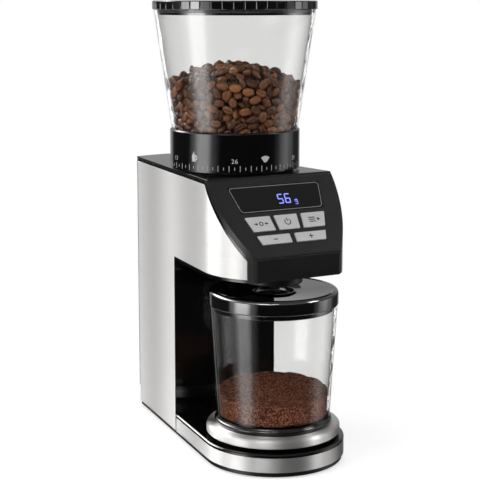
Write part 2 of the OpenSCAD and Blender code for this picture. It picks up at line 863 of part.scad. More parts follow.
module burr_chamber() {
    color([0.2, 0.2, 0.21]) difference() {
        union() {
            post([0, 0], gearbox_top, chamber_top, chamber_r);
            intersection() {
                post([0, 0], chamber_top - chamber_flange_t, chamber_top, chamber_flange_r);
                prism(head_nose, floor_z, deck_z, cavity_inset + snug, 0);
            }
        }
        post([0, 0], chamber_floor_top, chamber_top + over, chamber_bore);
        post([0, 0], chamber_top - carrier_down - rib_room, chamber_top + over, adjust_bore + rib_room);
        post([0, 0], gearbox_top - over, chamber_floor_top + over, boss_r + snug);
        for (i = [0 : 2]) rotate(60 + i * 120)
            block([0, -key_rib_w / 2 - rib_room, carrier_z],
                  [carrier_r + key_rib_out + rib_room, key_rib_w / 2 + rib_room, chamber_top + over]);
        block([-outlet_w / 2, -chamber_r - over, chamber_floor_top],
              [outlet_w / 2, 0, outlet_top - outlet_wall]);
    }
}

module outlet_chute() {
    back = -chamber_r * cos(asin((outlet_w / 2 + outlet_wall) / chamber_r)) - snug;
    far = -jar_reach - chute_base;
    near = -jar_reach + chute_base;
    low = gearbox_top + 1.4;
    base = low - 4;
    top = outlet_top;
    inner = chamber_floor_top;
    color([0.12, 0.12, 0.12]) difference() {
        intersection() {
            across([[-chamber_r + 6, low], [-chamber_r + 6, top], [-jar_reach - 3, top], [far, low + 4],
                    [far, base], [near, base], [near, low]], outlet_w + 2 * outlet_wall);
            difference() {
                block([-body_depth, -body_depth, 0], [body_depth, back + 10, deck_z]);
                post([0, 0], 0, deck_z, chamber_r + snug);
            }
        }
        across([[-chamber_r + 6 + over, inner], [-chamber_r + 6 + over, top - outlet_wall],
                [-jar_reach - 2, top - outlet_wall], [far + outlet_wall, low + 3.6],
                [far + outlet_wall, base - over], [near - outlet_wall, base - over],
                [near - outlet_wall, inner]], outlet_w);
    }
}

// Round hood below the head, which keeps stray grounds over the jar
module outlet_hood() {
    top = head_z - snug;
    low = head_z - hood_h;
    rotate_extrude() polygon(concat([[spout_r - over, top], [hood_r - 1, top], [hood_r, top - 1]],
        arc(hood_r - 0.9, low + 0.9, 0.9, 0, -90, 4),
        [[hood_r - hood_wall, low], [hood_r - hood_wall, top - hood_wall],
         [spout_r - over, top - hood_wall]]));
}

module outlet_spout() {
    base = gearbox_top - 2.6;
    flange = 2;
    color([0.35, 0.35, 0.36]) difference() {
        union() {
            post([0, -jar_reach], spout_z, base, spout_r);
            post([0, -jar_reach], floor_z, floor_z + flange, spout_r + 3);
            translate([0, -jar_reach, 0]) outlet_hood();
            block([-outlet_w / 2 - outlet_wall, -jar_reach - chute_base, base - flange],
                  [outlet_w / 2 + outlet_wall, -jar_reach + chute_base, base]);
        }
        post([0, -jar_reach], spout_z - over, base + over, spout_bore);
    }
}

// Cone burr: a few coarse flutes draw the beans in and fine teeth grind at its foot
module cone_burr() {
    flutes = 6;
    fine_h = 8;
    fine_top_r = cone_r - cone_slope * fine_h;
    color([0.6, 0.6, 0.62]) difference() {
        union() {
            translate([0, 0, cone_z])
                linear_extrude(fine_h, twist = -14, scale = fine_top_r / cone_r, slices = 5)
                    star(burr_teeth, cone_r, cone_r - tooth_depth);
            translate([0, 0, cone_z + fine_h / 2])
                linear_extrude(cone_h - fine_h / 2, twist = -110,
                               scale = cone_tip_r / (fine_top_r + 1), slices = 16)
                    star(flutes, fine_top_r + 1, fine_top_r - 4.5);
            post([0, 0], cone_z, cone_z + cone_h, cone_tip_r - 0.5);
        }
        post([0, 0], cone_z - over, cone_z + cone_h + over, shaft_r + fit);
    }
}

// Nut that holds the cone burr, with two blades that feed the beans
module bean_auger() {
    z = cone_z + cone_h + 0.1;
    blade_h = 9;
    color([0.5, 0.5, 0.52]) difference() {
        union() {
            post([0, 0], z, z + blade_h, cone_tip_r - 0.8);
            translate([0, 0, z]) linear_extrude(blade_h, twist = -70, slices = 8) for (a = [0, 180])
                rotate(a) translate([0, -1]) square([throat_r - 7, 2]);
        }
        post([0, 0], z - over, z + 6, shaft_r + fit);
    }
}

module sweeper_disc() {
    color([0.75, 0.74, 0.7]) difference() {
        union() {
            post([0, 0], sweeper_z, sweeper_z + sweeper_t, chamber_bore - 0.8);
            for (i = [0 : vane_count - 1]) rotate(i * 360 / vane_count)
                block([cone_r + 1, -vane_half, sweeper_z],
                      [chamber_bore - 1.2, vane_half, sweeper_z + sweeper_t + vane_h]);
        }
        post([0, 0], sweeper_z - over, sweeper_z + sweeper_t + over, shaft_r + fit);
    }
}

module burr_shaft() {
    color([0.7, 0.7, 0.72]) {
        post([0, 0], floor_z + 0.6, cone_z + cone_h + 5.6, shaft_r);
        ring(wheel_z - 0.2, main_z - snug, shaft_r + 1.5, shaft_r - edge);
    }
}

// ---- Gearbox and motor ----

module main_gear() {
    color([0.85, 0.82, 0.7]) difference() {
        union() {
            gear(main_teeth, main_z, main_z + main_t, 90 + 180 / main_teeth);
            post([0, 0], main_z, gearbox_roof_z - 0.4, shaft_r + 4);
        }
        post([0, 0], main_z - over, gearbox_roof_z + over, shaft_r + fit);
        for (i = [0 : 5]) rotate(i * 60 + 30)
            post([16 * gear_m, 0], main_z - over, main_z + main_t + over, 4.5 * gear_m);
    }
}

module bearing(z) {
    ring(z, z + bearing_h, bearing_r, shaft_r + fit);
}

module shaft_bearings() {
    color([0.65, 0.65, 0.67]) {
        bearing(boss_low_top - bearing_h);
        bearing(boss_high_top - bearing_h);
    }
}

module idler_gear() {
    color([0.85, 0.82, 0.7]) translate([0, gear_y1, 0]) difference() {
        union() {
            gear(idler_teeth, wheel_z, wheel_z + wheel_t, 90);
            gear(pinion_teeth, wheel_z + wheel_t - edge, main_z + main_t + 0.2, 270);
        }
        post([0, 0], wheel_z - over, deck_z, pin_r + fit);
        for (i = [0 : 5]) rotate(i * 60)
            post([15.5 * gear_m, 0], wheel_z - over, wheel_z + wheel_t + over, 3.6 * gear_m);
    }
}

module idler_pin() {
    color([0.7, 0.7, 0.72]) {
        post([0, gear_y1], floor_z, gearbox_top, pin_r);
        post([0, gear_y1], cover_top, wheel_z - 0.2, pin_r + 1.6);
    }
}

// Plan of the gearbox, grown by g from the room that the gears need
module gearbox_plan(g) {
    circle(gear_m * (main_teeth / 2 + 1) + gear_room + g);
    translate([0, gear_y1]) circle(gear_m * (idler_teeth / 2 + 1) + gear_room + g);
    translate([0, gear_y2]) circle(gear_m * (pinion_teeth / 2 + 1) + gear_room + g);
}

// Flange with a screw at each corner
module gearbox_flange() {
    front = gearbox_screw_at[0];
    side = gearbox_screw_at[2];
    for (p = gearbox_screw_at) translate(p) circle(screw_head_r + 1.5);
    translate(front - [2, 2]) square([4 - 2 * front[0], 20]);
    translate(side - [2, 4]) square([4 - 2 * side[0], 8]);
}

module gearbox_housing() {
    color([0.22, 0.22, 0.23]) difference() {
        union() {
            translate([0, 0, cover_top]) linear_extrude(gearbox_top - cover_top) gearbox_plan(wall);
            post([0, 0], gearbox_top - over, boss_high_top, boss_r);
        }
        translate([0, 0, cover_top - over])
            linear_extrude(gearbox_roof_z - cover_top + over) gearbox_plan(0);
        post([0, 0], gearbox_roof_z - over, boss_high_top + over, bearing_r + edge);
        post([0, gear_y1], gearbox_roof_z - over, gearbox_top + over, pin_r + edge);
    }
}

module gearbox_cover() {
    color([0.22, 0.22, 0.23]) difference() {
        union() {
            translate([0, 0, floor_z]) linear_extrude(cover_t) {
                gearbox_plan(wall);
                gearbox_flange();
                translate([-mount_x - mount_rim, gear_y1])
                    square([2 * (mount_x + mount_rim), gear_y2 - gear_y1 + mount_span + mount_rim]);
            }
            post([0, 0], floor_z, boss_low_top, boss_r);
        }
        post([0, 0], floor_z + 0.4, boss_low_top + over, bearing_r + edge);
        post([0, gear_y1], floor_z - over, cover_top + over, pin_r + edge);
        post([0, gear_y2], floor_z - over, cover_top + over, motor_shaft_r + 2);
        for (p = gearbox_screw_at) post(p, floor_z - over, cover_top + over, screw_r + snug);
    }
}

module gearbox_screws() {
    color("silver") for (p = gearbox_screw_at) {
        post(p, cover_top, cover_top + screw_head_h, screw_head_r);
        post(p, head_z + 0.6, cover_top + screw_head_h, screw_r);
    }
}

module motor_pinion() {
    color([0.72, 0.68, 0.5]) translate([0, gear_y2, 0]) difference() {
        gear(pinion_teeth, wheel_z - 0.6, wheel_z + wheel_t + 0.6, 270 + 180 / pinion_teeth);
        post([0, 0], 0, deck_z, motor_shaft_r + fit);
    }
}

module motor_shaft() {
    color([0.7, 0.7, 0.72]) post([0, gear_y2], motor_top - 20, wheel_z + wheel_t + 1.4, motor_shaft_r);
}

module motor() {
    color([0.5, 0.5, 0.52]) difference() {
        union() {
            post([0, gear_y2], motor_low, motor_top - 6, motor_r);
            post([0, gear_y2], motor_top - 6, motor_top - motor_nose_h, motor_r - 6);
            post([0, gear_y2], motor_top - motor_nose_h, motor_top, motor_nose_r);
            post([0, gear_y2], motor_low - 8, motor_low, motor_r - 12);
        }
        post([0, gear_y2], motor_top - 22, motor_top + over, motor_shaft_r + fit);
        for (i = [0 : 7]) translate([0, gear_y2, 0]) rotate(i * 45)
            block([motor_r - 1.6, -3, motor_low + 8], [motor_r + 1, 3, motor_low + 26]);
    }
}

module motor_mount() {
    z = motor_top - motor_nose_h;
    color([0.68, 0.69, 0.7]) difference() {
        block([-mount_x - mount_rim, gear_y2 - mount_span - mount_rim, z],
              [mount_x + mount_rim, gear_y2 + mount_span + mount_rim, z + mount_t]);
        post([0, gear_y2], z - over, z + mount_t + over, motor_nose_r + snug);
    }
}

module motor_dampers() {
    z = motor_top - motor_nose_h + mount_t;
    color([0.15, 0.15, 0.15]) for (x = [-mount_x, mount_x], y = [-mount_span, mount_span])
        post([x, gear_y2 + y], z, floor_z, damper_r);
}

module power_board() {
    z = base_top + 6;
    y = board_y[0];
    color([0.3, 0.4, 0.15]) {
        block([-board_side, y, z], [board_side, board_y[1], z + board_t]);
        block([-24, y + 10, z], [4, y + 36, z + 24]);
        block([8, y + 26, z], [24, y + 42, z + 16]);
        post([16, y + 14], z, z + 26, 8);
        for (x = [-18, -6]) post([x, y + 50], z, z + 14, 5);
        block([4, y + 50, z], [24, y + 60, z + 11]);
        for (p = board_post_at) post(p, base_top, z + edge, screw_r + 2);
    }
}

// ---- Scale ----

module load_cell() {
    z = cell_z;
    y0 = -jar_reach - hub_r;
    color([0.75, 0.76, 0.77]) difference() {
        block([-cell_w / 2, y0, z], [cell_w / 2, y0 + cell_len, z + cell_h]);
        for (s = [-1, 1]) translate([0, y0 + cell_len / 2 + s * 8, z + cell_h / 2])
            rotate([0, 90, 0]) cylinder(h = 3 * cell_w, r = 3, center = true);
        block([-cell_w, y0 + cell_len / 2 - 8, z + cell_h / 2 - 1],
              [cell_w, y0 + cell_len / 2 + 8, z + cell_h / 2 + 1]);
        for (y = [-jar_reach, cell_screw_y])
            post([0, y], z - over, z + cell_h + over, screw_r + snug);
    }
}

module load_cell_screws() {
    color("silver") {
        post([0, cell_screw_y], plate_z + 0.6, cell_z + cell_h + 0.1, screw_r);
        post([0, cell_screw_y], cell_z + cell_h, cell_z + cell_h + 1.2, screw_head_r);
        post([0, -jar_reach], cell_z - 1.4, cell_z, screw_head_r);
        post([0, -jar_reach], cell_z - 1.4, platform_z + 1, screw_r);
    }
}

module platform_carrier() {
    color([0.07, 0.07, 0.07]) difference() {
        union() {
            post([0, -jar_reach], base_top + 1.5, platform_top - 1.3, platform_r - 5.4);
            post([0, -jar_reach], cell_z + cell_h, base_top + 2, hub_r);
        }
        post([0, -jar_reach], cell_z, platform_z + 1.2, screw_r + snug);
    }
}

module scale_platform() {
    round_top = 3;
    round_low = 1.4;
    r = platform_r;
    t = 1.2;
    color([0.8, 0.79, 0.77]) translate([0, -jar_reach, 0]) rotate_extrude() polygon(concat(
        [[0, platform_top], [r - 9, platform_top], [r - 8.6, platform_top - 0.4], [r - 8, platform_top - 0.4],
         [r - 7.6, platform_top]],
        arc(r - round_top, platform_top - round_top, round_top, 90, 0),
        arc(r - round_low, platform_z + round_low, round_low, 0, -90, 4),
        [[r - round_low - 1, platform_z], [r - round_low - 1, platform_z + t],
         [r - 2 * t, platform_z + t + 1],
         [r - 3.2, platform_top - 3.2], [r - 5, platform_top - t], [0, platform_top - t]]));
}

// ---- Jar ----

module jar() {
    color([0.85, 0.85, 0.84, 0.35]) translate([0, -jar_reach, 0]) rotate_extrude() polygon([
        [0, jar_z], [jar_foot_r, jar_z], [jar_top_r, jar_top], [jar_top_r - jar_wall, jar_top],
        [jar_foot_r - jar_wall, jar_z + jar_floor], [0, jar_z + jar_floor]]);
}

module jar_foot() {
    r = jar_foot_r;
    bulge = 1.7;
    color([0.04, 0.04, 0.04]) translate([0, -jar_reach, 0]) rotate_extrude() polygon(concat(
        [[r - 6, jar_foot_z], [r + 0.6, jar_foot_z]],
        arc(r - 0.4, jar_foot_z + 3.2, 2.2, -30, 60),
        [[r + 0.3, jar_z + 1.8], [r + 0.3, jar_z], [r - 6, jar_z]]));
}

module jar_lid() {
    r = jar_lid_r;
    shoulder = 3.6;
    top = jar_lid_z + jar_lid_h;
    dish = 3.4;
    rim = 2.4;
    roof = top - 6;
    plug_r = jar_top_r - jar_wall - 0.9;
    color([0.04, 0.04, 0.04]) translate([0, -jar_reach, 0]) rotate_extrude() polygon(concat(
        [[plug_r, jar_lid_z], [r, jar_lid_z]],
        arc(r - shoulder, top - shoulder, shoulder, 0, 90),
        [[r - shoulder - 0.8, top], [r - shoulder - 1.8, top - 0.7], [fill_r + rim + 0.6, top - dish],
         [fill_r + rim, top - dish + 1.2], [fill_r, top - dish + 1.2], [fill_r, roof],
         [plug_r - 2, roof], [plug_r - 2, jar_lid_z - jar_plug], [plug_r, jar_lid_z - jar_plug]]));
}

// ---- Assembly ----

rubber_feet();
base_plate();
base_screws();
base_shell();
base_band();
housing();
housing_screws();
side_panel_left();
side_panel_right();
rear_cover();
cord_gland();
top_deck();
front_apron();
control_panel();
display_window();
display_module();
control_board();
key_switches();
key_tare();
key_power();
key_select();
key_minus();
key_plus();
hopper_lid();
lid_seal();
hopper();
hopper_collar();
adjusting_ring();
burr_carrier();
carrier_seal();
ring_burr();
ring_burr_screws();
burr_chamber();
outlet_chute();
outlet_spout();
cone_burr();
bean_auger();
sweeper_disc();
burr_shaft();
main_gear();
shaft_bearings();
idler_gear();
idler_pin();
gearbox_housing();
gearbox_cover();
gearbox_screws();
motor_pinion();
motor_shaft();
motor();
motor_mount();
motor_dampers();
power_board();
load_cell();
load_cell_screws();
platform_carrier();
scale_platform();
jar();
jar_foot();
jar_lid();
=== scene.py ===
"""Looks of the conical burr coffee grinder: finishes, markings, coffee and a plain studio
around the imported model. Everything is in metres in the model's own frame, and the sizes that
are named in millimetres are turned into metres by MM."""

import json
import math

import bpy
import numpy as np
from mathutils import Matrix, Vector


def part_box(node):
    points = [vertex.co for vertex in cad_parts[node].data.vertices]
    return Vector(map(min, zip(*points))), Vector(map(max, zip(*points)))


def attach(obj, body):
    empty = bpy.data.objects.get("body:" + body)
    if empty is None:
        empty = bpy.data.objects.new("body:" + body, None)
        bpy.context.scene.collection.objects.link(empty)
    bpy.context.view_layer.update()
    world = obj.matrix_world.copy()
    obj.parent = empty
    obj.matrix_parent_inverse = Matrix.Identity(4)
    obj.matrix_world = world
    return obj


MM = 0.001
SEED = 20
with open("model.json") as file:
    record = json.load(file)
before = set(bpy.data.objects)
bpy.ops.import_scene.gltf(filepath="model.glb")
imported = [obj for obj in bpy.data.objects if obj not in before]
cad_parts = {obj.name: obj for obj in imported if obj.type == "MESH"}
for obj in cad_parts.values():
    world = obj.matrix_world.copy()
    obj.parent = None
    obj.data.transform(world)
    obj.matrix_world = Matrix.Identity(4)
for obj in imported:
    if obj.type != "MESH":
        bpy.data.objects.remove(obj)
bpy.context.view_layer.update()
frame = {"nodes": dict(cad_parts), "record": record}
nodes = frame["nodes"]
scene = bpy.context.scene
rng = np.random.default_rng(SEED)


# ---- Small helpers ----

def mesh_object(name, points, faces, shade=True):
    """A mesh object from points in metres."""
    mesh = bpy.data.meshes.new(name)
    mesh.from_pydata([tuple(p) for p in points], [], [tuple(f) for f in faces])
    mesh.validate()
    mesh.polygons.foreach_set("use_smooth", [shade] * len(mesh.polygons))
    made = bpy.data.objects.new(name, mesh)
    scene.collection.objects.link(made)
    return made


def tube_faces(rows, around, first=0):
    """Faces between rows of points that each go round once."""
    faces = []
    for i in range(rows - 1):
        for k in range(around):
            a, b = first + i * around + k, first + i * around + (k + 1) % around
            faces.append((a, b, b + around, a + around))
    return faces


def closed_tube(rows, around):
    """The same, with a face on each end."""
    return tube_faces(rows, around) + [tuple(range(around - 1, -1, -1)),
                                       tuple(range((rows - 1) * around, rows * around))]


def tag_pieces(obj, name, values, corners):
    """A number for each point, from one value for each of the equal pieces in the mesh."""
    layer = obj.data.attributes.new(name, "FLOAT", "POINT")
    layer.data.foreach_set("value", np.repeat(values, corners).astype(np.float32))


# ---- Camera ----

PICTURE_PX = 480
FOCAL_PX = 1354.2
AXIS_PX = (241.4, 207.6)
CAMERA_AT = (-0.5783, -1.0465, 0.3937)
CAMERA_YAW = math.radians(29.2)
CAMERA_PITCH = math.radians(8.78)
SENSOR = 36.0


def make_camera():
    data = bpy.data.cameras.new("camera")
    data.sensor_width = SENSOR
    data.lens = SENSOR * FOCAL_PX / PICTURE_PX
    data.shift_x = (PICTURE_PX / 2 - AXIS_PX[0]) / PICTURE_PX
    data.shift_y = (AXIS_PX[1] - PICTURE_PX / 2) / PICTURE_PX
    camera = bpy.data.objects.new("camera", data)
    camera.location = CAMERA_AT
    camera.rotation_euler = (math.pi / 2 - CAMERA_PITCH, 0, -CAMERA_YAW)
    scene.collection.objects.link(camera)
    scene.camera = camera


make_camera()


# ---- Shader helpers ----

def node(tree, kind, inputs=None, **settings):
    """A shader node with its settings, its values and its links."""
    made = tree.nodes.new(kind)
    for key, value in settings.items():
        setattr(made, key, value)
    for key, value in (inputs or {}).items():
        if isinstance(value, bpy.types.NodeSocket):
            tree.links.new(value, made.inputs[key])
        else:
            made.inputs[key].default_value = value
    return made


def math_node(tree, operation, a, b=0.0, c=0.0):
    return node(tree, "ShaderNodeMath", {0: a, 1: b, 2: c}, operation=operation).outputs[0]


def place(tree, stretch=(1, 1, 1), turn=(0, 0, 0)):
    """Coordinates in metres in the model's frame, stretched."""
    here = node(tree, "ShaderNodeTexCoord").outputs["Object"]
    return node(tree, "ShaderNodeMapping",
                {"Vector": here, "Scale": stretch, "Rotation": turn}).outputs[0]


def noise(tree, scale, low=0.0, high=1.0, detail=3.0, stretch=(1, 1, 1), where=None, sharp=0.5):
    """Soft noise spread from low to high."""
    found = node(tree, "ShaderNodeTexNoise",
                 {"Vector": where or place(tree, stretch), "Scale": scale, "Detail": detail,
                  "Roughness": sharp}).outputs["Fac"]
    return spread(tree, found, 0.3, 0.7, low, high)


def spread(tree, value, from_low, from_high, low, high):
    return node(tree, "ShaderNodeMapRange",
                {"Value": value, "From Min": from_low, "From Max": from_high,
                 "To Min": low, "To Max": high}).outputs[0]


def blend_colors(tree, share, first, second):
    mixed = node(tree, "ShaderNodeMix", data_type="RGBA")
    for key, value in ((0, share), (6, first), (7, second)):
        if isinstance(value, bpy.types.NodeSocket):
            tree.links.new(value, mixed.inputs[key])
        else:
            mixed.inputs[key].default_value = value if key == 0 else (*value[:3], 1)
    return mixed.outputs[2]


def bump(tree, height, depth_mm, under=None):
    """Relief of that depth in millimetres."""
    inputs = {"Height": height, "Distance": depth_mm * MM, "Strength": 1.0}
    if under:
        inputs["Normal"] = under
    return node(tree, "ShaderNodeBump", inputs).outputs[0]


def material(name, inputs=None):
    made = bpy.data.materials.new(name)
    made.use_nodes = True
    shader = made.node_tree.nodes["Principled BSDF"]
    for key, value in (inputs or {}).items():
        shader.inputs[key].default_value = value
    return made, made.node_tree, shader


def connect(tree, shader, **sockets):
    for key, value in sockets.items():
        tree.links.new(value, shader.inputs[key.replace("_", " ")])


def shades(color, amount):
    """A darker and a lighter tone of a colour."""
    return ([c * (1 - amount) for c in color[:3]], [min(1, c * (1 + amount)) for c in color[:3]])


def moulded(name, color, rough=(0.3, 0.4), vary=0.15, mottle=60, grain=1600, depth=0.01,
            stretch=(1, 1, 1), **sockets):
    """Moulded, cast or painted stuff: mottled tone, uneven gloss and a fine surface grain."""
    made, tree, shader = material(name, {k.replace("_", " "): v for k, v in sockets.items()})
    dark, light = shades(color, vary)
    tone = blend_colors(tree, noise(tree, mottle, stretch=stretch), dark, light)
    gloss = noise(tree, mottle * 3, rough[0], rough[1], detail=5, stretch=stretch)
    relief = bump(tree, noise(tree, grain, detail=2, stretch=stretch), depth)
    connect(tree, shader, Base_Color=tone, Roughness=gloss, Normal=relief)
    return made


# ---- Finishes ----

def gloss_black():
    return moulded("gloss_black", (0.003, 0.003, 0.0032), (0.06, 0.11), grain=500, depth=0.002,
                   IOR=1.6)


def lid_black():
    return moulded("lid_black", (0.002, 0.002, 0.002), (0.03, 0.07), grain=500, depth=0.001,
                   IOR=2.1)


def satin_black():
    return moulded("satin_black", (0.009, 0.009, 0.009), (0.3, 0.38), grain=2600, depth=0.014,
                   IOR=1.45)


def ring_black():
    return moulded("ring_black", (0.0025, 0.0025, 0.0025), (0.1, 0.16), grain=1800, depth=0.002,
                   IOR=1.55)


STEEL = (0.70, 0.691, 0.678)
STEEL_BRUSHED = {"Metallic": 1.0, "Anisotropic": 0.9, "Anisotropic Rotation": 0.25}
BRUSHED_ROUGH = (0.42, 0.54)
SCRATCH_DEPTH = 0.004
# Length and start of the sheet's waves, which also place its painted reflection bands.
SHEET_ROLL_AND_BAND_M = 0.108
SHEET_ROLL_AND_BAND_START = math.pi / 2 - 1.5


def sheet_roll(tree):
    """Soft upright waves along the sheet, 0 to 1: in its relief the waves that rolling leaves in a
    thin sheet, in its colour painted reflection bands.
    """
    along = node(tree, "ShaderNodeSeparateXYZ", {0: place(tree)}).outputs["Y"]
    angle = math_node(tree, "MULTIPLY_ADD", along, 2 * math.pi / SHEET_ROLL_AND_BAND_M, SHEET_ROLL_AND_BAND_START)
    wave = spread(tree, math_node(tree, "SINE", angle), -1, 1, 0, 1)
    uneven = noise(tree, 1.0, 0.6, 1.0, detail=1, stretch=(14, 14, 0.8))
    return math_node(tree, "MULTIPLY", wave, uneven)


def steel_sheet():
    """Sheet brushed lengthwise: fine long scratches, and soft upright bands across them, both as
    slight waves in its relief and as painted reflection bands in its colour.
    """
    made, tree, shader = material("steel_sheet", STEEL_BRUSHED)
    scratch = noise(tree, 1.0, detail=4, stretch=(40, 40, 6000), sharp=0.7)
    roll_and_painted_bands = sheet_roll(tree)
    # Painted reflection: these tones make the steel's colour lighter and darker in upright bands
    # across the sheet.
    dark, light = shades(STEEL, 0.2)
    tone = blend_colors(tree, roll_and_painted_bands, dark, light)
    tone = blend_colors(tree, spread(tree, scratch, 0, 1, 0.0, 0.2), tone, (0.3, 0.3, 0.3))
    tangent = node(tree, "ShaderNodeTangent", direction_type="RADIAL", axis="Z").outputs[0]
    waves = bump(tree, roll_and_painted_bands, 0.25)
    connect(tree, shader, Base_Color=tone, Tangent=tangent,
            Roughness=spread(tree, scratch, 0, 1, *BRUSHED_ROUGH),
            Normal=bump(tree, scratch, SCRATCH_DEPTH, waves))
    return made


def steel_cap():
    """Steel spun about the jar's axis: rings on top and around the edge."""
    made, tree, shader = material("steel_cap", STEEL_BRUSHED)
    here = node(tree, "ShaderNodeTexCoord").outputs["Object"]
    low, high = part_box("scale_platform")
    centre = (low + high) / 2
    moved = node(tree, "ShaderNodeVectorMath", {0: here, 1: tuple(centre)},
                 operation="SUBTRACT").outputs[0]
    parts = node(tree, "ShaderNodeSeparateXYZ", {0: moved})
    flat = node(tree, "ShaderNodeCombineXYZ", {"X": parts.outputs["X"], "Y": parts.outputs["Y"]})
    radius = node(tree, "ShaderNodeVectorMath", {0: flat.outputs[0]}, operation="LENGTH")
    rings = node(tree, "ShaderNodeCombineXYZ",
                 {"X": radius.outputs["Value"], "Y": parts.outputs["Z"]}).outputs[0]
    scratch = noise(tree, 5200, detail=3, where=rings, sharp=0.7)
    dark, light = shades(STEEL, 0.12)
    tangent = node(tree, "ShaderNodeTangent", direction_type="RADIAL", axis="Z").outputs[0]
    connect(tree, shader, Base_Color=blend_colors(tree, scratch, dark, light), Tangent=tangent,
            Roughness=spread(tree, scratch, 0, 1, *BRUSHED_ROUGH),
            Normal=bump(tree, scratch, SCRATCH_DEPTH))
    return made


def clear_plastic(name, tint, rough, coat_bend):
    """Clear moulded plastic in a thin wall: it hardly bends what is seen through it, and its
    gloss lies on it as a coat. Lamps shine through it."""
    made, tree, shader = material(
        name, {"Transmission Weight": 1.0, "IOR": 1.08, "Base Color": (*tint, 1),
               "Coat Weight": 1.0, "Coat IOR": coat_bend, "Coat Roughness": rough})
    waves = bump(tree, noise(tree, 45, detail=2), 0.012)
    tree.links.new(waves, shader.inputs["Coat Normal"])
    connect(tree, shader, Roughness=noise(tree, 90, 0.0, 0.01, detail=4), Normal=waves)
    through = node(tree, "ShaderNodeBsdfTransparent", {"Color": (*tint, 1)})
    path = node(tree, "ShaderNodeLightPath")
    mixed = node(tree, "ShaderNodeMixShader",
                 {0: path.outputs["Is Shadow Ray"], 1: shader.outputs[0], 2: through.outputs[0]})
    tree.links.new(mixed.outputs[0], tree.nodes["Material Output"].inputs["Surface"])
    return made


def clear_hopper():
    return clear_plastic("clear_hopper", (0.9, 0.9, 0.895), 0.02, 1.5)


def clear_jar():
    return clear_plastic("clear_jar", (0.875, 0.875, 0.87), 0.015, 1.45)


def window():
    return moulded("window", (0.004, 0.004, 0.005), (0.03, 0.06), grain=300, depth=0.001,
                   IOR=1.5)


def key_silver():
    return moulded("key_silver", (0.69, 0.69, 0.685), (0.3, 0.38), vary=0.05, mottle=900,
                   grain=4200, depth=0.006, Metallic=0.2)


def rubber():
    return moulded("rubber", (0.02, 0.02, 0.02), (0.6, 0.8), mottle=200, grain=1500, depth=0.03)


def silicone():
    return moulded("silicone", (0.05, 0.05, 0.05), (0.4, 0.55), mottle=200, depth=0.01)


def felt():
    return moulded("felt", (0.55, 0.5, 0.42), (0.85, 0.95), vary=0.25, mottle=700, grain=2500,
                   depth=0.15)


def metal(name, color, rough, grain=1200, depth=0.008, vary=0.12, stretch=(1, 1, 1)):
    return moulded(name, color, rough, vary=vary, mottle=250, grain=grain, depth=depth,
                   stretch=stretch, Metallic=1.0)


def burr_steel():
    return metal("burr_steel", (0.46, 0.46, 0.47), (0.25, 0.4), stretch=(1, 1, 4))


def cast_zinc():
    return metal("cast_zinc", (0.42, 0.42, 0.43), (0.45, 0.6), grain=700, depth=0.05)


def shaft_steel():
    return metal("shaft_steel", (0.6, 0.6, 0.62), (0.15, 0.25), stretch=(1, 1, 12))


def screw_steel():
    return metal("screw_steel", (0.55, 0.55, 0.54), (0.25, 0.4), stretch=(1, 1, 8))


def gear_plastic():
    return moulded("gear_plastic", (0.72, 0.68, 0.54), (0.35, 0.5), vary=0.06, mottle=120)


def sintered():
    return metal("sintered", (0.55, 0.42, 0.22), (0.45, 0.65), grain=2500, depth=0.03)


def inner_black():
    return moulded("inner_black", (0.02, 0.02, 0.021), (0.45, 0.6), grain=900, depth=0.03)


def motor_case():
    return metal("motor_case", (0.5, 0.5, 0.5), (0.3, 0.45), stretch=(1, 1, 6))


def board_green():
    return moulded("board_green", (0.02, 0.14, 0.05), (0.3, 0.45), vary=0.3, mottle=400)


def switch_body():
    return moulded("switch_body", (0.12, 0.12, 0.12), (0.4, 0.5))


def display():
    return moulded("display", (0.02, 0.02, 0.025), (0.2, 0.3))


def cell_alu():
    return metal("cell_alu", (0.62, 0.63, 0.64), (0.3, 0.45), stretch=(1, 6, 1))


def mount_steel():
    return metal("mount_steel", (0.55, 0.56, 0.58), (0.35, 0.5))


FINISHES = {make.__name__: make for make in (
    gloss_black, satin_black, ring_black, steel_sheet, steel_cap, clear_hopper, clear_jar,
    window, key_silver, rubber, silicone, felt, burr_steel, cast_zinc, shaft_steel,
    screw_steel, gear_plastic, sintered, inner_black, motor_case, board_green, switch_body,
    display, cell_alu, mount_steel)}


OWN_FINISH = {"hopper_lid": lid_black, "jar_lid": lid_black}


def finish_nodes():
    """Gives each CAD node the finish that its material slot names, or one of its own."""
    made = {}
    for part in frame["record"]["subparts"]:
        make = OWN_FINISH.get(part["node"], FINISHES[part["material_slot"]])
        if make not in made:
            made[make] = make()
        mesh = nodes[part["node"]].data
        mesh.materials.clear()
        mesh.materials.append(made[make])
        mesh.polygons.foreach_set("material_index", [0] * len(mesh.polygons))


finish_nodes()


# ---- Softened edges ----

EDGE_MM = {
    "top_deck": 0.7, "housing": 0.5, "side_panel_left": 0.25, "side_panel_right": 0.25,
    "rear_cover": 0.5, "front_apron": 0.5, "control_panel": 0.4, "display_window": 0.15,
    "key_tare": 0.45, "key_power": 0.45, "key_select": 0.45, "key_minus": 0.45, "key_plus": 0.45,
    "hopper_lid": 0.2, "hopper_collar": 0.25, "hopper": 0.5, "jar": 0.6, "jar_foot": 0.3,
    "jar_lid": 1.4, "scale_platform": 0.2, "base_shell": 0.3, "base_band": 0.12,
    "platform_carrier": 0.3, "outlet_spout": 0.4, "rubber_feet": 0.3, "cord_gland": 0.4,
}
BEVEL_ANGLE = math.radians(28)


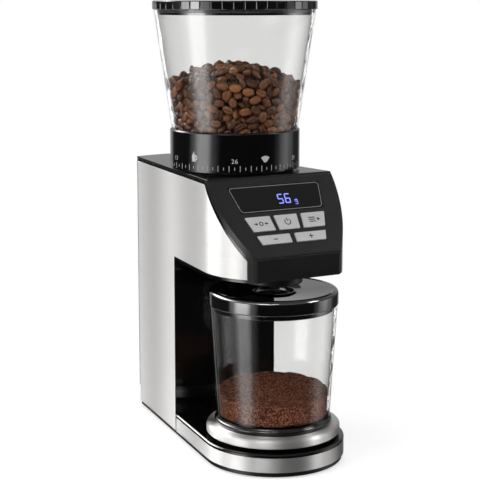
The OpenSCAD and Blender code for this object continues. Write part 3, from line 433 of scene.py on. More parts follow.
def soften(name, width_mm):
    """Rounds a node's sharp edges by a modifier, as moulding and pressing leave them."""
    obj = nodes[name]
    mesh = obj.data
    if "custom_normal" in mesh.attributes:
        mesh.attributes.remove(mesh.attributes["custom_normal"])
    mesh.polygons.foreach_set("use_smooth", [True] * len(mesh.polygons))
    weld = obj.modifiers.new("weld", "WELD")
    weld.merge_threshold = 0.002 * MM
    bevel = obj.modifiers.new("bevel", "BEVEL")
    bevel.width = width_mm * MM
    bevel.segments = 2
    bevel.limit_method = "ANGLE"
    bevel.angle_limit = BEVEL_ANGLE
    bevel.use_clamp_overlap = True
    normals = obj.modifiers.new("normals", "WEIGHTED_NORMAL")
    normals.keep_sharp = False


for edge_node, edge_width in EDGE_MM.items():
    soften(edge_node, edge_width)


# ---- Control panel: display frame, digits and key glyphs ----

FOOT_YZ, HEAD_YZ = (-110.3, 184.5), (-61.4, 245.0)
PANEL_FOOT = Vector((0, *FOOT_YZ)) * MM
PANEL_SLOPE = math.atan2(HEAD_YZ[1] - FOOT_YZ[1], HEAD_YZ[0] - FOOT_YZ[0])
PANEL_UP = Vector((0, math.cos(PANEL_SLOPE), math.sin(PANEL_SLOPE)))
PANEL_OUT = Vector((0, -math.sin(PANEL_SLOPE), math.cos(PANEL_SLOPE)))
PRINT_MM, PRINT_THICK_MM = 0.05, 0.03
KEY_PRINT_MM = 0.92


def on_panel(x, v, out):
    """A point on the panel from x across, v up the slope and out from its face, in mm."""
    return Vector((x * MM, 0, 0)) + PANEL_FOOT + PANEL_UP * v * MM + PANEL_OUT * out * MM


def printed(name, shapes, out_mm, paint, body):
    """Thin printed or lit shapes on the panel. Each shape is a ring of [x, v] points, or a pair
    of rings with the same number of points, outer and inner."""
    points, faces = [], []
    for shape in shapes:
        start = len(points)
        if isinstance(shape, tuple):
            outer, inner = shape
            count = len(outer)
            for height in (out_mm, out_mm + PRINT_THICK_MM):
                points += [on_panel(*p, height) for p in outer]
                points += [on_panel(*p, height) for p in inner]
            top = start + 2 * count
            for i in range(count):
                k = (i + 1) % count
                faces.append((top + i, top + k, top + count + k, top + count + i))
                faces.append((start + i, start + k, top + k, top + i))
                faces.append((start + count + k, start + count + i, top + count + i,
                              top + count + k))
        else:
            count = len(shape)
            for height in (out_mm, out_mm + PRINT_THICK_MM):
                points += [on_panel(*p, height) for p in shape]
            faces.append(tuple(range(start + count, start + 2 * count)))
            for i in range(count):
                k = (i + 1) % count
                faces.append((start + i, start + k, start + count + k, start + count + i))
    made = mesh_object(name, points, faces, shade=False)
    made.data.materials.append(paint)
    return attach(made, body)


def ink(name, color, rough=0.5):
    return moulded(name, color, (rough - 0.05, rough + 0.05), vary=0.08, mottle=600, grain=3000,
                   depth=0.003)


def lit_blue():
    """Light from the display's segments, a little uneven from place to place."""
    made, tree, shader = material("lit_blue", {"Base Color": (0.02, 0.02, 0.08, 1)})
    shader.inputs["Emission Strength"].default_value = 1.5
    glow = noise(tree, 700, detail=1)
    connect(tree, shader, Emission_Color=blend_colors(tree, glow, (0.16, 0.2, 1.0),
                                                      (0.3, 0.36, 1.0)))
    return made


def rounded(corners, radius, steps=5):
    """A closed outline with its corners rounded."""
    points = []
    count = len(corners)
    for i in range(count):
        here = Vector(corners[i])
        before = (Vector(corners[i - 1]) - here).normalized()
        after = (Vector(corners[(i + 1) % count]) - here).normalized()
        for k in range(steps + 1):
            t = k / steps
            point = here + before * radius * (1 - t) ** 2 + after * radius * t ** 2
            points.append((point.x, point.y))
    return points


def grown(points, amount):
    """An outline moved outwards by an amount, for outlines that go round counter-clockwise."""
    moved = []
    count = len(points)
    for i in range(count):
        a = Vector(points[i]) - Vector(points[i - 1])
        b = Vector(points[(i + 1) % count]) - Vector(points[i])
        out = Vector((a.y, -a.x)).normalized() + Vector((b.y, -b.x)).normalized()
        out = out.normalized() / max(0.5, math.cos(a.angle(b) / 2)) if out.length else out
        moved.append((points[i][0] + out.x * amount, points[i][1] + out.y * amount))
    return moved


def circle_points(x, v, radius, count=28, start=0.0, sweep=2 * math.pi):
    steps = count if sweep >= 2 * math.pi else count - 1
    return [(x + radius * math.cos(start + sweep * i / steps),
             v + radius * math.sin(start + sweep * i / steps)) for i in range(count)]


WINDOW_V = (42.5, 69.0)
WINDOW_HALF = (40.2, 45.5)
LINE_INSET, LINE_W, LINE_CORNER = 1.3, 0.5, 3.2


def window_frame():
    low, high = WINDOW_V
    corners = [(-WINDOW_HALF[0], low), (WINDOW_HALF[0], low),
               (WINDOW_HALF[1], high), (-WINDOW_HALF[1], high)]
    middle = rounded(grown(corners, -LINE_INSET), LINE_CORNER)
    printed("display_frame", [(grown(middle, LINE_W / 2), grown(middle, -LINE_W / 2))],
            PRINT_MM, ink("frame_ink", (0.3, 0.3, 0.3)), "grinder_body")


SEGMENTS = {"5": "afgcd", "6": "afgedc"}
DIGIT_W, DIGIT_H, STROKE = 5.3, 9.4, 0.95
DIGIT_LEAN = 0.1
DIGIT_GAP = 0.22
DIGIT_AT = {"5": (-1.5, 49.6), "6": (5.4, 49.6)}
UNIT_AT = (16.0, 48.4)


def seven_segments(digit, x, v):
    """Segments of a leaning digit whose lower left corner is at x, v."""
    w, h, s, gap = DIGIT_W, DIGIT_H, STROKE, DIGIT_GAP
    bars = {"a": (0, h, w, h), "d": (0, 0, w, 0), "g": (0, h / 2, w, h / 2),
            "f": (0, h / 2, 0, h), "e": (0, 0, 0, h / 2), "c": (w, 0, w, h / 2)}
    shapes = []
    for key in SEGMENTS[digit]:
        x0, v0, x1, v1 = bars[key]
        if v0 == v1:
            mid = min(max(v0, s / 2), h - s / 2)
            shape = [(x0 + gap + s / 2, mid - s / 2), (x1 - gap - s / 2, mid - s / 2),
                     (x1 - gap, mid), (x1 - gap - s / 2, mid + s / 2),
                     (x0 + gap + s / 2, mid + s / 2), (x0 + gap, mid)]
        else:
            mid = min(max(x0, s / 2), w - s / 2)
            shape = [(mid, v0 + gap), (mid + s / 2, v0 + gap + s / 2),
                     (mid + s / 2, v1 - gap - s / 2), (mid, v1 - gap),
                     (mid - s / 2, v1 - gap - s / 2), (mid - s / 2, v0 + gap + s / 2)]
        shapes.append([(x + p + DIGIT_LEAN * q, v + q) for p, q in shape])
    return shapes


def unit_mark(x, v):
    """The small g beside the digits."""
    ring = (circle_points(x, v + 3.1, 1.35, 20), circle_points(x, v + 3.1, 0.85, 20))
    stem = [(x + 0.9, v + 0.4), (x + 1.4, v + 0.4), (x + 1.4, v + 4.45), (x + 0.9, v + 4.45)]
    hook_out = circle_points(x + 0.05, v + 0.6, 1.35, 12, math.pi, math.pi)
    hook_in = circle_points(x + 0.05, v + 0.6, 0.85, 12, math.pi, math.pi)
    return [ring, stem, hook_out + hook_in[::-1]]


def display_digits():
    shapes = [shape for digit, at in DIGIT_AT.items() for shape in seven_segments(digit, *at)]
    printed("display_digits", shapes + unit_mark(*UNIT_AT), PRINT_MM, lit_blue(), "grinder_body")


def arrow(x, v, direction, size):
    return [(x, v), (x - direction * size * 1.5, v + size), (x - direction * size * 1.5, v - size)]


KEY_CENTRES = {"tare": (-25.5, 31.6), "power": (0, 31.6), "select": (25.5, 31.6),
               "minus": (-17.1, 16.2), "plus": (17.1, 16.2)}
THIN, THICK = 0.42, 0.45


def arc_band(x, v, radius, width, start, sweep, count=26):
    outer = circle_points(x, v, radius + width / 2, count, start, sweep)
    inner = circle_points(x, v, radius - width / 2, count, start, sweep)
    return outer + inner[::-1]


def bar(x, v, half_x, half_v):
    return [(x - half_x, v - half_v), (x + half_x, v - half_v), (x + half_x, v + half_v),
            (x - half_x, v + half_v)]


def key_glyphs():
    dark = ink("glyph_ink", (0.008, 0.008, 0.009), 0.45)
    out = KEY_PRINT_MM
    x, v = KEY_CENTRES["power"]
    printed("glyph_power", [arc_band(x, v, 2.7, 0.85, math.radians(125), math.radians(290)),
                            bar(x, v + 2.1, THIN, 1.6)], out, dark, "power_button")
    x, v = KEY_CENTRES["tare"]
    zero = (circle_points(x, v, 2.0), circle_points(x, v, 1.15))
    printed("glyph_tare", [zero, arrow(x - 3.0, v, 1, 1.4), bar(x - 5.6, v, 1.1, THIN),
                           arrow(x + 3.0, v, -1, 1.4), bar(x + 5.6, v, 1.1, THIN)],
            out, dark, "tare_button")
    x, v = KEY_CENTRES["select"]
    rows = [bar(x - 1.6, v + step, 3.2, THIN) for step in (-1.9, 0, 1.9)]
    printed("glyph_select", rows + [arrow(x + 6.2, v, 1, 1.8)], out, dark, "select_button")
    x, v = KEY_CENTRES["minus"]
    printed("glyph_minus", [bar(x, v, 2.0, THICK)], out, dark, "minus_button")
    x, v = KEY_CENTRES["plus"]
    printed("glyph_plus", [bar(x, v, 2.1, THICK), bar(x, v + 1.27, THICK, 0.83),
                           bar(x, v - 1.27, THICK, 0.83)], out, dark, "plus_button")


window_frame()
display_digits()
key_glyphs()


# ---- Grind scale ring: marks, numbers and symbols ----

collar_low, collar_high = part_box("hopper_collar")
COLLAR_R = collar_high.y
DIAL_FACE = -math.pi / 2 - CAMERA_YAW
TICK_STEP = math.radians(4.75)
TICKS_BEFORE, TICKS_AFTER = 25, 19
TICK_LOW = 1.6
TICK_LONG, TICK_SHORT, TICK_W = 5.0, 2.5, 0.62
NUMBER_LOW, NUMBER_SIZE, NUMBER_OUT = 8.7, 3.9, 0.16
CAPITAL_SHARE = 0.72
NUMBERS, FACING_NUMBER = (1, 13, 26, 39), 26
SIGN_LOW, SIGN_SIZE = 9.2, 0.84
POT_AT, FILTER_AT = math.radians(-37.6), math.radians(27.1)


def on_collar(along_mm, up_mm, out_mm=PRINT_MM):
    """A point on the ring, from along it to the right and up from its lower edge, in mm."""
    radius = COLLAR_R + out_mm * MM
    angle = DIAL_FACE + along_mm * MM / COLLAR_R
    return Vector((radius * math.cos(angle), radius * math.sin(angle), collar_low.z + up_mm * MM))


def wrapped(name, outlines, paint):
    """Thin shapes printed round the ring, each cut in narrow upright strips."""
    points, faces = [], []
    for strip in outlines:
        start = len(points)
        for left, right in strip:
            points += [on_collar(*left), on_collar(*right)]
        for i in range(len(strip) - 1):
            k = start + 2 * i
            faces.append((k, k + 1, k + 3, k + 2))
    made = mesh_object(name, points, faces, shade=False)
    made.data.materials.append(paint)
    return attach(made, "hopper_unit")


def tick_strips():
    strips = []
    for n in range(-TICKS_BEFORE, TICKS_AFTER + 1):
        long = (n + TICKS_BEFORE) % 2 == 0
        length = TICK_LONG if long else TICK_SHORT
        low = TICK_LOW + (0 if long else (TICK_LONG - TICK_SHORT) / 2)
        x = n * TICK_STEP * COLLAR_R / MM
        strips.append([((x - TICK_W / 2, low), (x - TICK_W / 2, low + length)),
                       ((x + TICK_W / 2, low), (x + TICK_W / 2, low + length))])
    return strips


def strip_of(width, low_of, high_of, x, count=14):
    """A sign's shape between two height formulas across a width."""
    made = []
    for i in range(count + 1):
        t = -1 + 2 * i / count
        a = x + t * width / 2 * SIGN_SIZE
        made.append(((a, SIGN_LOW + low_of(t) * SIGN_SIZE), (a, SIGN_LOW + high_of(t) * SIGN_SIZE)))
    return made


def filter_sign(x):
    """A fan-shaped paper filter."""
    return [strip_of(9.4, lambda t: 6.3 * max(0.0, abs(t) - 0.22) ** 1.15,
                     lambda t: 6.6 - 1.6 * t * t, x)]


def pot_sign(x):
    """A stove-top coffee pot with its knob and handle."""
    body = strip_of(4.6, lambda t: 0.0, lambda t: 7.2 - 0.5 * abs(t), x, 6)
    lid = strip_of(3.4, lambda t: 7.2, lambda t: 8.9 - 1.1 * abs(t), x, 6)
    knob = strip_of(0.9, lambda t: 8.8, lambda t: 9.9, x, 2)
    handle = []
    for i in range(17):
        a = math.pi / 2 - math.pi * i / 16
        pair = []
        for wide, high in ((1.3, 1.6), (2.5, 2.7)):
            pair.append((x + SIGN_SIZE * (2.2 + wide * math.cos(a)),
                         SIGN_LOW + SIGN_SIZE * (4.0 + high * math.sin(a))))
        handle.append(tuple(pair))
    return [body, lid, knob, handle]


def number_on_ring(text, angle, paint):
    """A plain number printed on the ring at an angle from its face, wrapped round it."""
    curve = bpy.data.curves.new("number", "FONT")
    curve.body = text
    curve.size = NUMBER_SIZE / CAPITAL_SHARE
    curve.align_x = "CENTER"
    curve.space_character = 1.1
    flat = bpy.data.objects.new("number", curve)
    scene.collection.objects.link(flat)
    bpy.context.view_layer.update()
    mesh = bpy.data.meshes.new_from_object(flat.evaluated_get(
        bpy.context.evaluated_depsgraph_get()))
    bpy.data.objects.remove(flat)
    for vertex in mesh.vertices:
        along = vertex.co.x + angle * COLLAR_R / MM
        vertex.co = on_collar(along, vertex.co.y + NUMBER_LOW, NUMBER_OUT)
    mesh.materials.clear()
    mesh.materials.append(paint)
    made = bpy.data.objects.new("dial_number_" + text, mesh)
    scene.collection.objects.link(made)
    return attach(made, "hopper_unit")


def dial():
    paint = ink("dial_ink", (0.62, 0.62, 0.61))
    tick_paint = ink("tick_ink", (0.5, 0.5, 0.49))
    wrapped("dial_ticks", tick_strips(), tick_paint)
    wrapped("dial_sign_pot", pot_sign(POT_AT * COLLAR_R / MM), paint)
    wrapped("dial_sign_filter", filter_sign(FILTER_AT * COLLAR_R / MM), paint)
    for number in NUMBERS:
        number_on_ring(str(number), TICK_STEP * (number - FACING_NUMBER), paint)


dial()


# ---- Coffee beans ----

hopper_low, hopper_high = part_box("hopper")
HOPPER_WALL = 3.0
HOPPER_TOP_R, HOPPER_TOP_Z = hopper_high.x / MM, hopper_high.z / MM
HOPPER_BASE_R, HOPPER_BASE_Z = 55.9, collar_high.z / MM
FUNNEL_HIGH = (50.9, 275.7)
FUNNEL_LOW = (19.3, 253.2)
FILL_CENTRE, FILL_DROP = 342.0, 7.0
SHELL_MM = 15.0
BEAN = (5.1, 3.7, 3.0)
BALL_R, BALL_GAP = 3.25, 1.9
BALL_FOOT, BALL_SIDE = BALL_R * 0.4, BALL_R * 0.8
BEAN_COUNT = 1120
TRY_COUNT, TRY_HALF = 4000, 66
PACK_STEPS = 240
WALL_PUSH, CENTRE_PUSH, TURN_SHARE, SETTLE_MM = 0.5, 0.3, 0.12, 0.12
WALL_GAP = 0.35


def hopper_radius(z):
    """Inner radius of the hopper at height z, in mm."""
    straight = (HOPPER_BASE_R - HOPPER_WALL
                + (z - HOPPER_BASE_Z) * (HOPPER_TOP_R - HOPPER_BASE_R)
                / (HOPPER_TOP_Z - HOPPER_BASE_Z))
    slope = (FUNNEL_HIGH[0] - FUNNEL_LOW[0]) / (FUNNEL_HIGH[1] - FUNNEL_LOW[1])
    funnel = FUNNEL_HIGH[0] + (z - FUNNEL_HIGH[1]) * slope
    return np.minimum(straight, funnel)


def fill_height(x, y, radius):
    """Height of the heap of beans, in mm."""
    r2 = (x * x + y * y) / (radius * radius)
    return FILL_CENTRE - FILL_DROP * r2


def push_apart(centres, axes):
    """One step that separates beans, each taken as three balls in a row."""
    offsets = np.array([-BALL_GAP, 0, BALL_GAP])
    gaps = centres[:, None, :] - centres[None, :, :]
    near = (gaps ** 2).sum(2) < (2 * (BALL_R + BALL_GAP)) ** 2
    first, second = np.nonzero(np.triu(near, 1))
    move = np.zeros_like(centres)
    turn = np.zeros_like(centres)
    hits = np.zeros(len(centres))
    for a in offsets:
        for b in offsets:
            gap = (centres[first] + a * axes[first]) - (centres[second] + b * axes[second])
            far = np.linalg.norm(gap, axis=1) + 1e-9
            push = np.clip(2 * BALL_R - far, 0, None)[:, None] * gap / far[:, None]
            for index, sign, arm in ((first, 0.5, a), (second, -0.5, b)):
                for k in range(3):
                    part = sign * push[:, k]
                    move[:, k] += np.bincount(index, part, len(centres))
                    turn[:, k] += np.bincount(index, part * arm, len(centres))
            for index in (first, second):
                hits += np.bincount(index, (push ** 2).sum(1) > 0, len(centres))
    share = 1 / np.maximum(1, hits * 0.5)[:, None]
    return move * share, turn * share


def keep_inside(points):
    """How far points must move to stay between the hopper's wall, the heap and its core."""
    x, y, z = points.T
    r = np.hypot(x, y) + 1e-9
    limit = hopper_radius(z - BALL_FOOT) - BALL_SIDE
    move = np.zeros_like(points)
    over = np.clip(r - limit, 0, None)
    move[:, 0] -= over * x / r
    move[:, 1] -= over * y / r
    top = fill_height(x, y, hopper_radius(z)) - BALL_R
    move[:, 2] -= np.clip(z - top, 0, None)
    move[:, 2] += np.clip(FUNNEL_LOW[1] + BALL_R - z, 0, None)
    core = np.clip(limit - SHELL_MM - r, 0, None)
    under = top - SHELL_MM - z
    inside = (core > 0) & (under > 0)
    aside = inside & (core < under)
    move[aside, 0] += (core * x / r)[aside]
    move[aside, 1] += (core * y / r)[aside]
    move[inside & ~aside, 2] += under[inside & ~aside]
    return move


def pack_beans():
    """Centres and long axes of beans that lie packed against the wall and at the top."""
    centres = np.zeros((0, 3))
    while len(centres) < BEAN_COUNT:
        tries = rng.uniform((-TRY_HALF, -TRY_HALF, FUNNEL_LOW[1]),
                            (TRY_HALF, TRY_HALF, FILL_CENTRE), (TRY_COUNT, 3))
        free = np.linalg.norm(keep_inside(tries), axis=1) == 0
        centres = np.vstack([centres, tries[free]])[:BEAN_COUNT]
    axes = rng.normal(size=(BEAN_COUNT, 3))
    axes /= np.linalg.norm(axes, axis=1)[:, None]
    for step in range(PACK_STEPS):
        move, turn = push_apart(centres, axes)
        for arm in (-BALL_GAP, BALL_GAP):
            wall = keep_inside(centres + arm * axes)
            move += wall * WALL_PUSH
            turn += wall * arm
        centres += move + keep_inside(centres) * CENTRE_PUSH
        centres[:, 2] -= SETTLE_MM * (1 - step / PACK_STEPS)
        axes += turn * TURN_SHARE
        axes /= np.linalg.norm(axes, axis=1)[:, None]
    return centres, axes


SEAM_SIDE = (213, 232, 246, 256, 263, 270, 277, 284, 294, 308, 327)
ROUND_SIDE = (0, 30, 60, 90, 120, 150, 180)
BEAN_ROWS = 10
FLAT_SHARE = 0.6
GROOVE_W, GROOVE_DEPTH = 0.13, 0.36
LIP_AT, LIP_W, LIP_HIGH = 0.3, 0.14, 0.05
SEAM_CURVE, SEAM_TURN = 0.1, 2.6


def bean_form():
    """Points and faces of one bean: a dome, a flatter side and a curved seam in it. The points
    stand closer together by the seam."""
    turns = [math.radians(a) for a in ROUND_SIDE + SEAM_SIDE]
    around = len(turns)
    points = [(-1, 0, 0)]
    for i in range(1, BEAN_ROWS + 1):
        a = math.pi * i / (BEAN_ROWS + 1)
        for b in turns:
            points.append((-math.cos(a), math.sin(a) * math.cos(b), math.sin(a) * math.sin(b)))
    points.append((1, 0, 0))
    faces = [(0, 1 + (k + 1) % around, 1 + k) for k in range(around)]
    faces += tube_faces(BEAN_ROWS, around, 1)
    last = len(points) - 1
    ring = last - around
    faces += [(ring + k, ring + (k + 1) % around, last) for k in range(around)]
    x, y, z = np.array(points).T
    flat = z < 0
    z = np.where(flat, z * FLAT_SHARE, z)
    groove = np.exp(-(y / GROOVE_W) ** 2) * (1 - x ** 4) * flat
    lips = np.exp(-((np.abs(y) - LIP_AT) / LIP_W) ** 2) * (1 - x ** 4) * flat
    y = y + SEAM_CURVE * np.sin(SEAM_TURN * x) * flat
    return np.stack([x, y, z + GROOVE_DEPTH * groove - LIP_HIGH * lips], 1), faces


def off_wall(points):
    """Points that would lie in the hopper's wall are drawn back to just inside it."""
    x, y, z = points.T
    r = np.hypot(x, y) + 1e-9
    share = np.minimum(1, (hopper_radius(z) - WALL_GAP) / r)
    return np.stack([x * share, y * share, np.maximum(z, FUNNEL_LOW[1] + WALL_GAP)], 1)


SIZE_SPREAD, SIZE_LEAST, SIZE_MOST = 0.07, 0.84, 1.14
SEAM_OUT_SHARE = 0.55
LOOSE_GAP = 1.6 * BALL_R
LEAN_LOOSE, LEAN_AT_WALL = 1.0, 0.35
BEND = 0.04


def make_beans():
    centres, axes = pack_beans()
    form, faces = bean_form()
    spins = rng.uniform(0, 2 * math.pi, BEAN_COUNT)
    sizes = rng.normal(1.0, SIZE_SPREAD, (BEAN_COUNT, 3)).clip(SIZE_LEAST, SIZE_MOST)
    seam_out = rng.random(BEAN_COUNT) < SEAM_OUT_SHARE
    points = np.empty((BEAN_COUNT, len(form), 3))
    for i in range(BEAN_COUNT):
        long = axes[i]
        x, y, z = centres[i]
        out = np.array([x, y, 0]) / (math.hypot(x, y) + 1e-9)
        loose = hopper_radius(z) - math.hypot(x, y) > LOOSE_GAP
        lean = rng.normal(size=3) * (LEAN_LOOSE if loose else LEAN_AT_WALL)
        flat = (out if seam_out[i] else -out) + lean
        flat -= long * (flat @ long)
        flat /= np.linalg.norm(flat) + 1e-9
        wide = np.cross(flat, long)
        shape = form * np.array(BEAN) * sizes[i]
        bend = BEND * math.sin(spins[i])
        shape[:, 2] += bend * shape[:, 0] ** 2 / BEAN[0]
        points[i] = centres[i] + shape[:, :1] * long + shape[:, 1:2] * wide + shape[:, 2:] * -flat
    points = off_wall(points.reshape(-1, 3))
    all_faces = [tuple(f + i * len(form) for f in face)
                 for i in range(BEAN_COUNT) for face in faces]
    beans = mesh_object("coffee_beans", points * MM, all_faces)
    tag_pieces(beans, "tone", rng.random(BEAN_COUNT), len(form))
    beans.data.materials.append(bean_finish())
    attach(beans, "hopper_unit")


ROAST = ((0.0, (0.07, 0.027, 0.013)), (0.45, (0.17, 0.064, 0.027)),
         (0.85, (0.29, 0.108, 0.04)), (1.0, (0.45, 0.18, 0.06)))


def bean_finish():
    """Roasted bean: brown tones from bean to bean, fine wrinkles and an oily gloss."""
    made, tree, shader = material("roasted_bean", {"Specular IOR Level": 0.5})
    tone = node(tree, "ShaderNodeAttribute", attribute_name="tone").outputs["Fac"]
    ramp = node(tree, "ShaderNodeValToRGB", {"Fac": tone})
    for position, _ in ROAST[1:-1]:
        ramp.color_ramp.elements.new(position)
    for stop, (position, color) in zip(ramp.color_ramp.elements, ROAST):
        stop.position = position
        stop.color = (*color, 1)
    mottled = blend_colors(tree, noise(tree, 900, 0, 0.5, detail=4), ramp.outputs[0],
                           (0.04, 0.017, 0.009))
    connect(tree, shader, Base_Color=mottled, Roughness=noise(tree, 600, 0.2, 0.42),
            Normal=bump(tree, noise(tree, 1100, detail=4), 0.1))
    return made


CORE_AROUND, CORE_ROWS = 48, 12
CORE_LOW = FUNNEL_LOW[1] + 4
CORE_HIGH = FILL_CENTRE - FILL_DROP - SHELL_MM * 0.6
CORE_INSET, CORE_UNDER = SHELL_MM * 0.72, SHELL_MM * 0.62
CORE_LEAST_R, HEAP_R = 4.0, 58.0


def make_core():
    """The inside of the heap, behind the beans that show, coloured as painted shade: far darker
    than any bean.
    """
    points = []
    for z in np.linspace(CORE_LOW, CORE_HIGH, CORE_ROWS):
        r = max(CORE_LEAST_R, float(hopper_radius(z)) - CORE_INSET)
        for k in range(CORE_AROUND):
            a = 2 * math.pi * k / CORE_AROUND
            wave = 1 + 0.02 * math.sin(7 * a + z) + 0.02 * math.sin(11 * a - 2 * z)
            points.append((r * wave * math.cos(a), r * wave * math.sin(a), z))
    for share in (0.75, 0.5, 0.25):
        for k in range(CORE_AROUND):
            a = 2 * math.pi * k / CORE_AROUND
            x, y = r * share * math.cos(a), r * share * math.sin(a)
            points.append((x, y, float(fill_height(x, y, HEAP_R)) - CORE_UNDER))
    faces = closed_tube(len(points) // CORE_AROUND, CORE_AROUND)
    core = mesh_object("coffee_beans_inner", np.array(points) * MM, faces)
    # Painted shade: the hidden beans are given the darkness of the shade between them, not a bean's
    # colour.
    core.data.materials.append(moulded("bean_shadow", (0.012, 0.006, 0.004), (0.7, 0.9),
                                       vary=0.4, mottle=250, grain=260, depth=1.5))
    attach(core, "hopper_unit")


make_beans()
make_core()


# ---- Ground coffee ----

JAR_AXIS_Y = -68.0
JAR_FLOOR = (46.4, 39.1)
JAR_MOUTH = (52.6, 136.0)
GROUND_Z, GROUND_RISE, GROUND_R = 59.6, 1.9, 47.0
RISE_TO = Vector((math.sin(CAMERA_YAW), math.cos(CAMERA_YAW)))
GROUND_AROUND, WALL_ROWS, TOP_ROWS = 96, 9, 24
JAR_GAP = 0.25
WAVE_COUNT, WAVE_SCALE, LUMP_MM = 14, 6.0, 0.04096
GRAIN_COUNT = 9000
TOP_GRAINS = 0.55
GRAIN_MM = (0.28, 0.62)


def jar_radius(z):
    return JAR_FLOOR[0] + (z - JAR_FLOOR[1]) * (JAR_MOUTH[0] - JAR_FLOOR[0]) / (
        JAR_MOUTH[1] - JAR_FLOOR[1])


WAVES = [(rng.uniform(0.03, 0.16), rng.uniform(0, 2 * math.pi), rng.uniform(0, 2 * math.pi))
         for _ in range(WAVE_COUNT)]


def ground_height(x, y):
    """Height of the loose coffee, in mm, at x, y from the jar's axis."""
    back = (x * RISE_TO.x + y * RISE_TO.y) / GROUND_R
    lumps = sum(np.sin(k * WAVE_SCALE * (x * math.cos(a) + y * math.sin(a)) + b) / k ** 0.5
                for k, a, b in WAVES)
    return GROUND_Z + GROUND_RISE * back + LUMP_MM * lumps


def ground_body():
    """The mass of ground coffee: a wall that follows the jar and a lumpy top."""
    turns = [2 * math.pi * k / GROUND_AROUND for k in range(GROUND_AROUND)]
    rim = jar_radius(GROUND_Z) - JAR_GAP
    low = JAR_FLOOR[1] + JAR_GAP
    points = []
    for t in np.linspace(0, 1, WALL_ROWS):
        for a in turns:
            z = low + t * (ground_height(rim * math.cos(a), rim * math.sin(a)) - low)
            r = jar_radius(z) - JAR_GAP
            points.append((r * math.cos(a), r * math.sin(a), z))
    for share in np.linspace(0.97, 0.03, TOP_ROWS):
        for a in turns:
            x, y = rim * share * math.cos(a), rim * share * math.sin(a)
            points.append((x, y, ground_height(x, y)))
    faces = closed_tube(WALL_ROWS + TOP_ROWS, GROUND_AROUND)
    return np.array(points) + (0, JAR_AXIS_Y, 0), faces


def grains():
    """Loose grains on the top and against the glass, as small uneven stones."""
    golden = (1 + 5 ** 0.5) / 2
    corners = np.array([(0, 1, golden), (0, -1, golden), (0, 1, -golden), (0, -1, -golden),
                        (1, golden, 0), (-1, golden, 0), (1, -golden, 0), (-1, -golden, 0),
                        (golden, 0, 1), (-golden, 0, 1), (golden, 0, -1), (-golden, 0, -1)])
    corners /= np.linalg.norm(corners[0])
    sides = [(i, k, m) for i in range(12) for k in range(i + 1, 12) for m in range(k + 1, 12)
             if all(np.linalg.norm(corners[p] - corners[q]) < 1.1
                    for p, q in ((i, k), (k, m), (i, m)))]
    on_top = rng.random(GRAIN_COUNT) < TOP_GRAINS
    angle = rng.uniform(0, 2 * math.pi, GRAIN_COUNT)
    rim = jar_radius(GROUND_Z) - 0.9
    r = np.where(on_top, rim * np.sqrt(rng.random(GRAIN_COUNT)), 0)
    x, y = r * np.cos(angle), r * np.sin(angle)
    z = ground_height(x, y) + 0.1
    side_z = rng.uniform(JAR_FLOOR[1] + 0.8, GROUND_Z - 0.6, GRAIN_COUNT)
    side_r = jar_radius(side_z) - 0.75
    x = np.where(on_top, x, side_r * np.cos(angle))
    y = np.where(on_top, y, side_r * np.sin(angle))
    limit = ground_height(x, y)
    z = np.where(on_top, z, np.minimum(side_z, limit))
    centres = np.stack([x, y + JAR_AXIS_Y, z], 1)
    size = rng.uniform(*GRAIN_MM, GRAIN_COUNT)[:, None, None]
    jitter = rng.uniform(0.65, 1.15, (GRAIN_COUNT, 12, 1))
    stretch = rng.uniform(0.7, 1.2, (GRAIN_COUNT, 1, 3))
    points = centres[:, None, :] + corners[None] * jitter * stretch * size
    faces = [tuple(p + 12 * i for p in side) for i in range(GRAIN_COUNT) for side in sides]
    return points.reshape(-1, 3), faces


def ground_finish():
    """Fine reddish brown coffee, with darker and lighter grains."""
    made, tree, shader = material("ground_coffee", {"Specular IOR Level": 0.3})
    cells = node(tree, "ShaderNodeTexVoronoi", {"Vector": place(tree), "Scale": 1100.0})
    level = node(tree, "ShaderNodeSeparateColor", {0: cells.outputs["Color"]}).outputs[0]
    bright = math_node(tree, "POWER", level, 2.2)
    tone = blend_colors(tree, bright, (0.026, 0.008, 0.005), (0.55, 0.19, 0.085))
    soft = blend_colors(tree, noise(tree, 150, 0, 0.3), tone, (0.07, 0.023, 0.012))
    relief = bump(tree, cells.outputs["Distance"], -0.5)
    connect(tree, shader, Base_Color=soft, Roughness=noise(tree, 800, 0.6, 0.85),
            Normal=bump(tree, noise(tree, 1800, detail=4), 0.2, relief))
    return made


def make_ground():
    paint = ground_finish()
    points, faces = ground_body()
    body = mesh_object("ground_coffee", points * MM, faces)
    body.data.materials.append(paint)
    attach(body, "coffee_jar")
    points, faces = grains()
    loose = mesh_object("ground_coffee_grains", points * MM, faces, shade=False)
    loose.data.materials.append(paint)
    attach(loose, "coffee_jar")


make_ground()


# ---- Studio ----

WORLD_DIFFUSE = 0.5
TOP_SHINE = 0.25
SHINE_LOW = {-180: 0.6, -134: 0.55, -120: 0.05, -100: 0.1, -86: 0.7, -72: 1.6, -62: 1.2,
             -52: 0.3, -42: 0.03, 55: 0.02, 68: 0.7, 80: 4.8, 94: 4.8, 108: 1.0, 118: 0.04,
             168: 0.04, 177: 0.5, 180: 0.6}
SHINE_MIDDLE = {-180: 0.7, -168: 0.5, -140: 0.45, -115: 0.4, -98: 0.2, -40: 0.1, 55: 0.1,
                100: 0.2, 140: 0.6, 180: 0.7}
SHINE_HIGH = {-180: 0.8, -120: 0.4, -62: 0.5, -54: 12.0, -44: 12.0, -34: 0.5, 25: 0.6, 34: 3.4,
              42: 8.5, 52: 8.5, 64: 2.5, 90: 1.2, 104: 2.5, 120: 7.0, 138: 13, 165: 13,
              180: 0.8}
SHINE_FLOOR = {-180: 1.0, -110: 1.0, -60: 0.9, -40: 0.4, 50: 0.4, 80: 1.0, 110: 1.3,
               180: 1.0}
FLOOR_FROM, FLOOR_TO_LOW = (-2.0, -1.5), (-0.75, -0.45)
